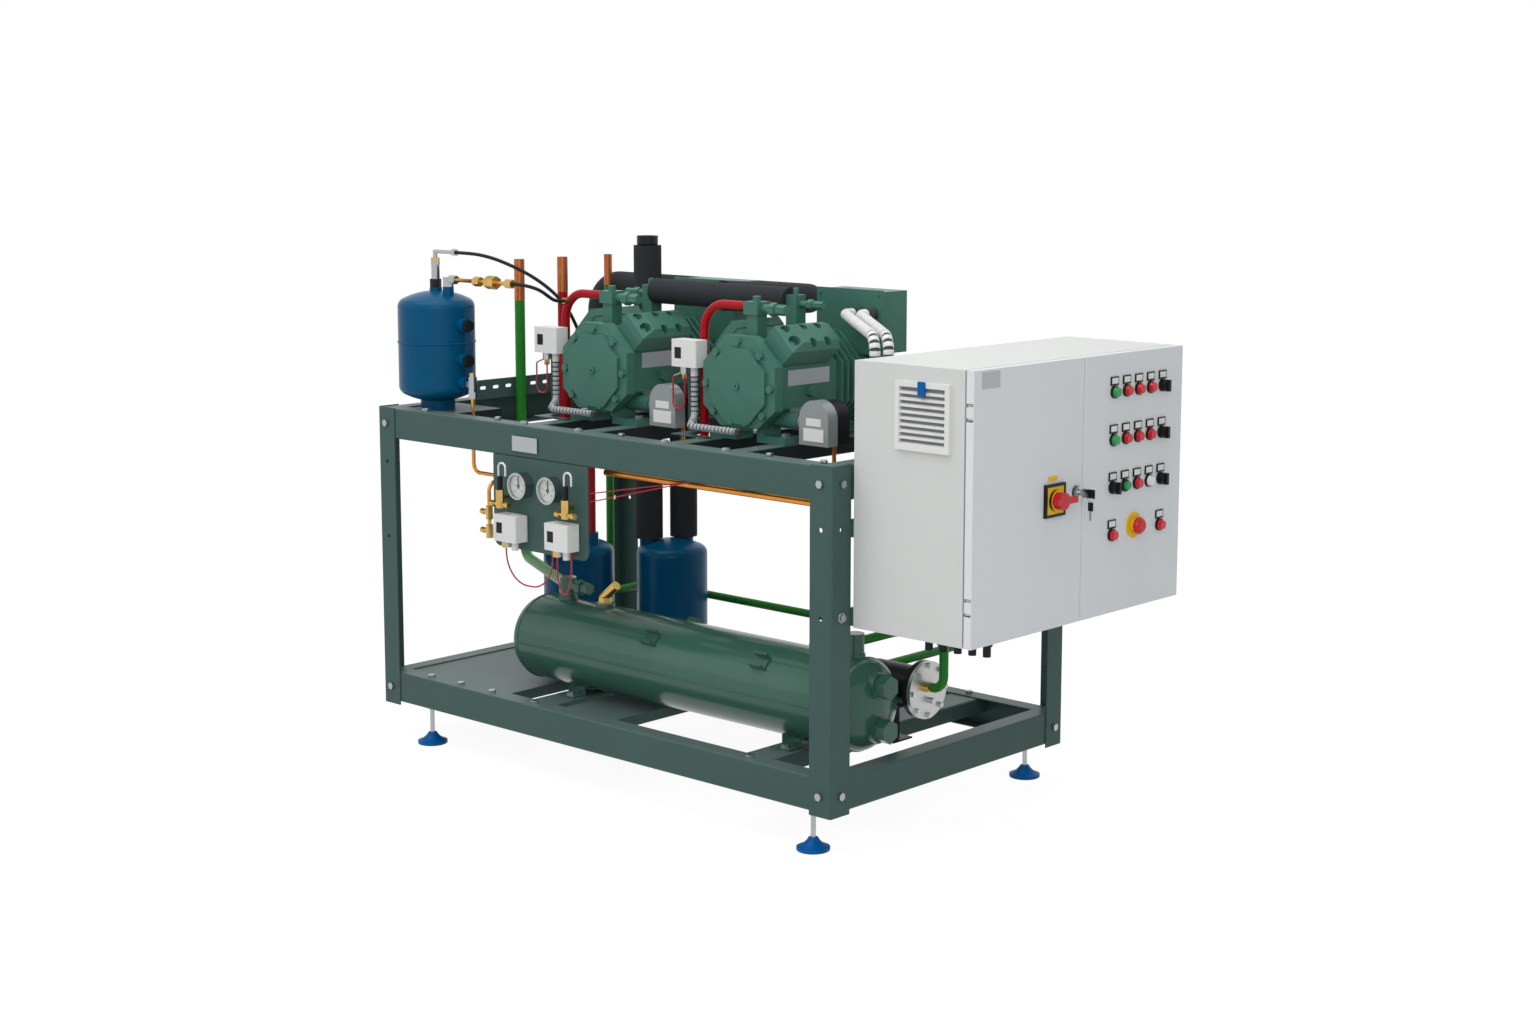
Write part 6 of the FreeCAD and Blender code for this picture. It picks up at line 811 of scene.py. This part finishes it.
# %% [markdown]
# The cable conduits are ribbed: pale sleeves with dark gaps. The helper walks along the
# conduit's route, straight runs and tangent arcs alike, and notes where each sleeve stands and
# which way it points.


# %% Conduit ribs
ARC_STEPS = 12


def walk(points, radii, first, pitch):
    """Places and directions every pitch along straight runs that are joined by arcs."""
    points = [spot(*point) for point in points]
    line = [points[0]]
    for before, corner, after, radius in zip(points, points[1:], points[2:], radii):
        arriving, leaving = (corner - before).normalized(), (after - corner).normalized()
        turn = arriving.angle(leaving)
        back = radius * MM * math.tan(turn / 2)
        middle = corner + (leaving - arriving).normalized() * (radius * MM / math.cos(turn / 2))
        axis = arriving.cross(leaving).normalized()
        start = corner - arriving * back - middle
        for step in range(ARC_STEPS + 1):
            line.append(middle + Matrix.Rotation(turn * step / ARC_STEPS, 3, axis) @ start)
    line.append(points[-1])
    placed = []
    wait = first * MM
    for begin, end in zip(line, line[1:]):
        heading, left = (end - begin), (end - begin).length
        along = 0.0
        while heading.length > 1e-6 and left - along >= wait:
            along += wait
            placed.append((begin + heading.normalized() * along, heading.normalized()))
            wait = pitch * MM
        wait -= left - along
    return placed


def ribs(name, points, radii, across, rise, length, gap, first, made):
    """Short sleeves along a conduit."""
    bpy.ops.mesh.primitive_cylinder_add(vertices=32, radius=(across / 2 + rise) * MM,
                                        depth=length * MM)
    sleeve = bpy.context.object
    soften(sleeve, 0.8 * MM, 2)
    places = [Matrix.Translation(at) @ heading.to_track_quat("Z", "Y").to_matrix().to_4x4()
              for at, heading in walk(points, radii, first, length + gap)]
    whole = copies(sleeve, places)
    bpy.ops.object.shade_smooth_by_angle(angle=SMOOTH_BELOW)
    print(name, len(places), "ribs")
    return settle(whole, name, made, RACK)


for number, (x, ahead, turn_x, turn_y, low) in enumerate(
        ((1294, 48, 1548, 252, 960), (1252, 56, 1524, 232, 926))):
    ribs(f"power_conduit_{number}",
         [(x, 495.7, 1090), (x, 495.7 - ahead, 1090), (turn_x, turn_y, 1064),
          (turn_x, turn_y, low), (1607, turn_y, low)],
         radii=[28, 44, 30], across=22, rise=1.8, length=11.5, gap=4.5, first=34,
         made=white_plastic)
SWITCH_LEFT, SWITCH_WIDTH, GLAND_SHARE = 228, 84, 0.7
for number, centre in enumerate((650, 1150)):
    x = centre - SWITCH_LEFT + SWITCH_WIDTH * GLAND_SHARE
    ribs(f"switch_lead_{number}",
         [(x, 197, 938), (x, 197, 839), (x + 20, 160, 821), (centre + 12, 160, 821)],
         radii=[18, 18], across=15, rise=1, length=8.5, gap=3.5, first=8, made=conduit_grey)

# %% [markdown]
# Last come two thin capillaries that cross behind the top rail from the gauge panel, the bolt
# that holds the cabinet's bracket to the right-hand post, the bolt heads along the deck's front
# edge, and a brass port beside the left compressor's cover.


# %% Capillaries, bolts and port
def rod(begin, end, radius, sides=12):
    """A round bar between two points of the part's frame, in millimetres."""
    begin, end = Vector(begin) * MM, Vector(end) * MM
    bpy.ops.mesh.primitive_cylinder_add(vertices=sides, radius=radius * MM,
                                        depth=(end - begin).length, location=(begin + end) / 2)
    bar = bpy.context.object
    soften(bar, 0.2 * radius * MM)
    bar.rotation_euler = (end - begin).to_track_quat("Z", "Y").to_euler()
    return bar


# Each runs from the panel's back to the underside of the rail.
crossing = [rod((606, -32, 738), (1003, -10, 813), 1.5),
            rod((606, -32, 714), (999, -10, 813), 1.5)]
settle(join(crossing), "crossing_capillaries", capillary_red, RACK)
BOLT = (-3, 552)
bolt = [rod((1448, *BOLT), (1450, *BOLT), 12, 32), rod((1450, *BOLT), (1457, *BOLT), 8.5, 6)]
settle(join(bolt), "bracket_bolt", zinc, RACK)
DECK_BOLTS = [(12, -8), (286, 0), (398, -10), (598, -10), (739, 0), (898, -10), (1098, -10),
              (1225, 0), (1391, 0)]
HEAD_FOOT, HEAD_TOP, HEAD_RADIUS = 893, 901, 9
heads = [rod((x, y, HEAD_FOOT), (x, y, HEAD_TOP), HEAD_RADIUS, 6) for x, y in DECK_BOLTS]
settle(join(heads), "deck_bolts", zinc, RACK)
PORT = (375, 160)
port = [rod((*PORT, 978), (*PORT, 1026), 7, 24), rod((*PORT, 990), (*PORT, 1008), 10, 6)]
settle(join(port), "cover_port", brass, RACK)
print("capillaries, bolts and port done")

# %% [markdown]
# Two black braided hoses lead from the reservoir's fittings to the left compressor. Each one is
# a curve whose control points are the hose's real route, so it bends as a stiff hose does. A
# NURBS of order three passes close to its points without corners, and a bevel gives the tube.


# %% Hoses
HOSE_DIAMETER = 0.009


def hose(name, node, points):
    """A braided hose along a route given in the rack's own millimetres, for one CAD node."""
    data = bpy.data.curves.new(name, "CURVE")
    data.dimensions = "3D"
    line = data.splines.new("NURBS")
    line.points.add(len(points) - 1)
    for knot, point in zip(line.points, points):
        knot.co = (*spot(*point), 1)
    line.order_u = 3
    line.use_endpoint_u = True
    line.resolution_u = 10
    data.bevel_depth = HOSE_DIAMETER / 2
    data.bevel_resolution = 5
    data.use_fill_caps = True
    thing = bpy.data.objects.new(name, data)
    bpy.context.scene.collection.objects.link(thing)
    data.materials.append(rubber)
    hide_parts(node)
    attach(thing, "rack")
    return thing


RESERVOIR_ROUTE = [
    (211, 100, 1209), (245, 100, 1209), (284, 110, 1207), (322, 129, 1198),
    (359, 151, 1182), (394, 176, 1162), (424, 202, 1137), (446, 231, 1106),
    (455, 262, 1070), (450, 292, 1030), (444, 316, 993), (448, 330, 958),
    (460, 338, 932), (480, 343, 914), (503, 345, 905), (527, 345, 905)]
OIL_ROUTE = [
    (431, 100, 1138), (458, 100, 1138), (483, 111, 1134), (498, 133, 1124),
    (500, 160, 1106), (494.9, 187, 1093.1), (494.9, 213, 1093.1)]
hose("reservoir_hose", "hose_reservoir", RESERVOIR_ROUTE)
hose("oil_hose", "hose_oil", OIL_ROUTE)
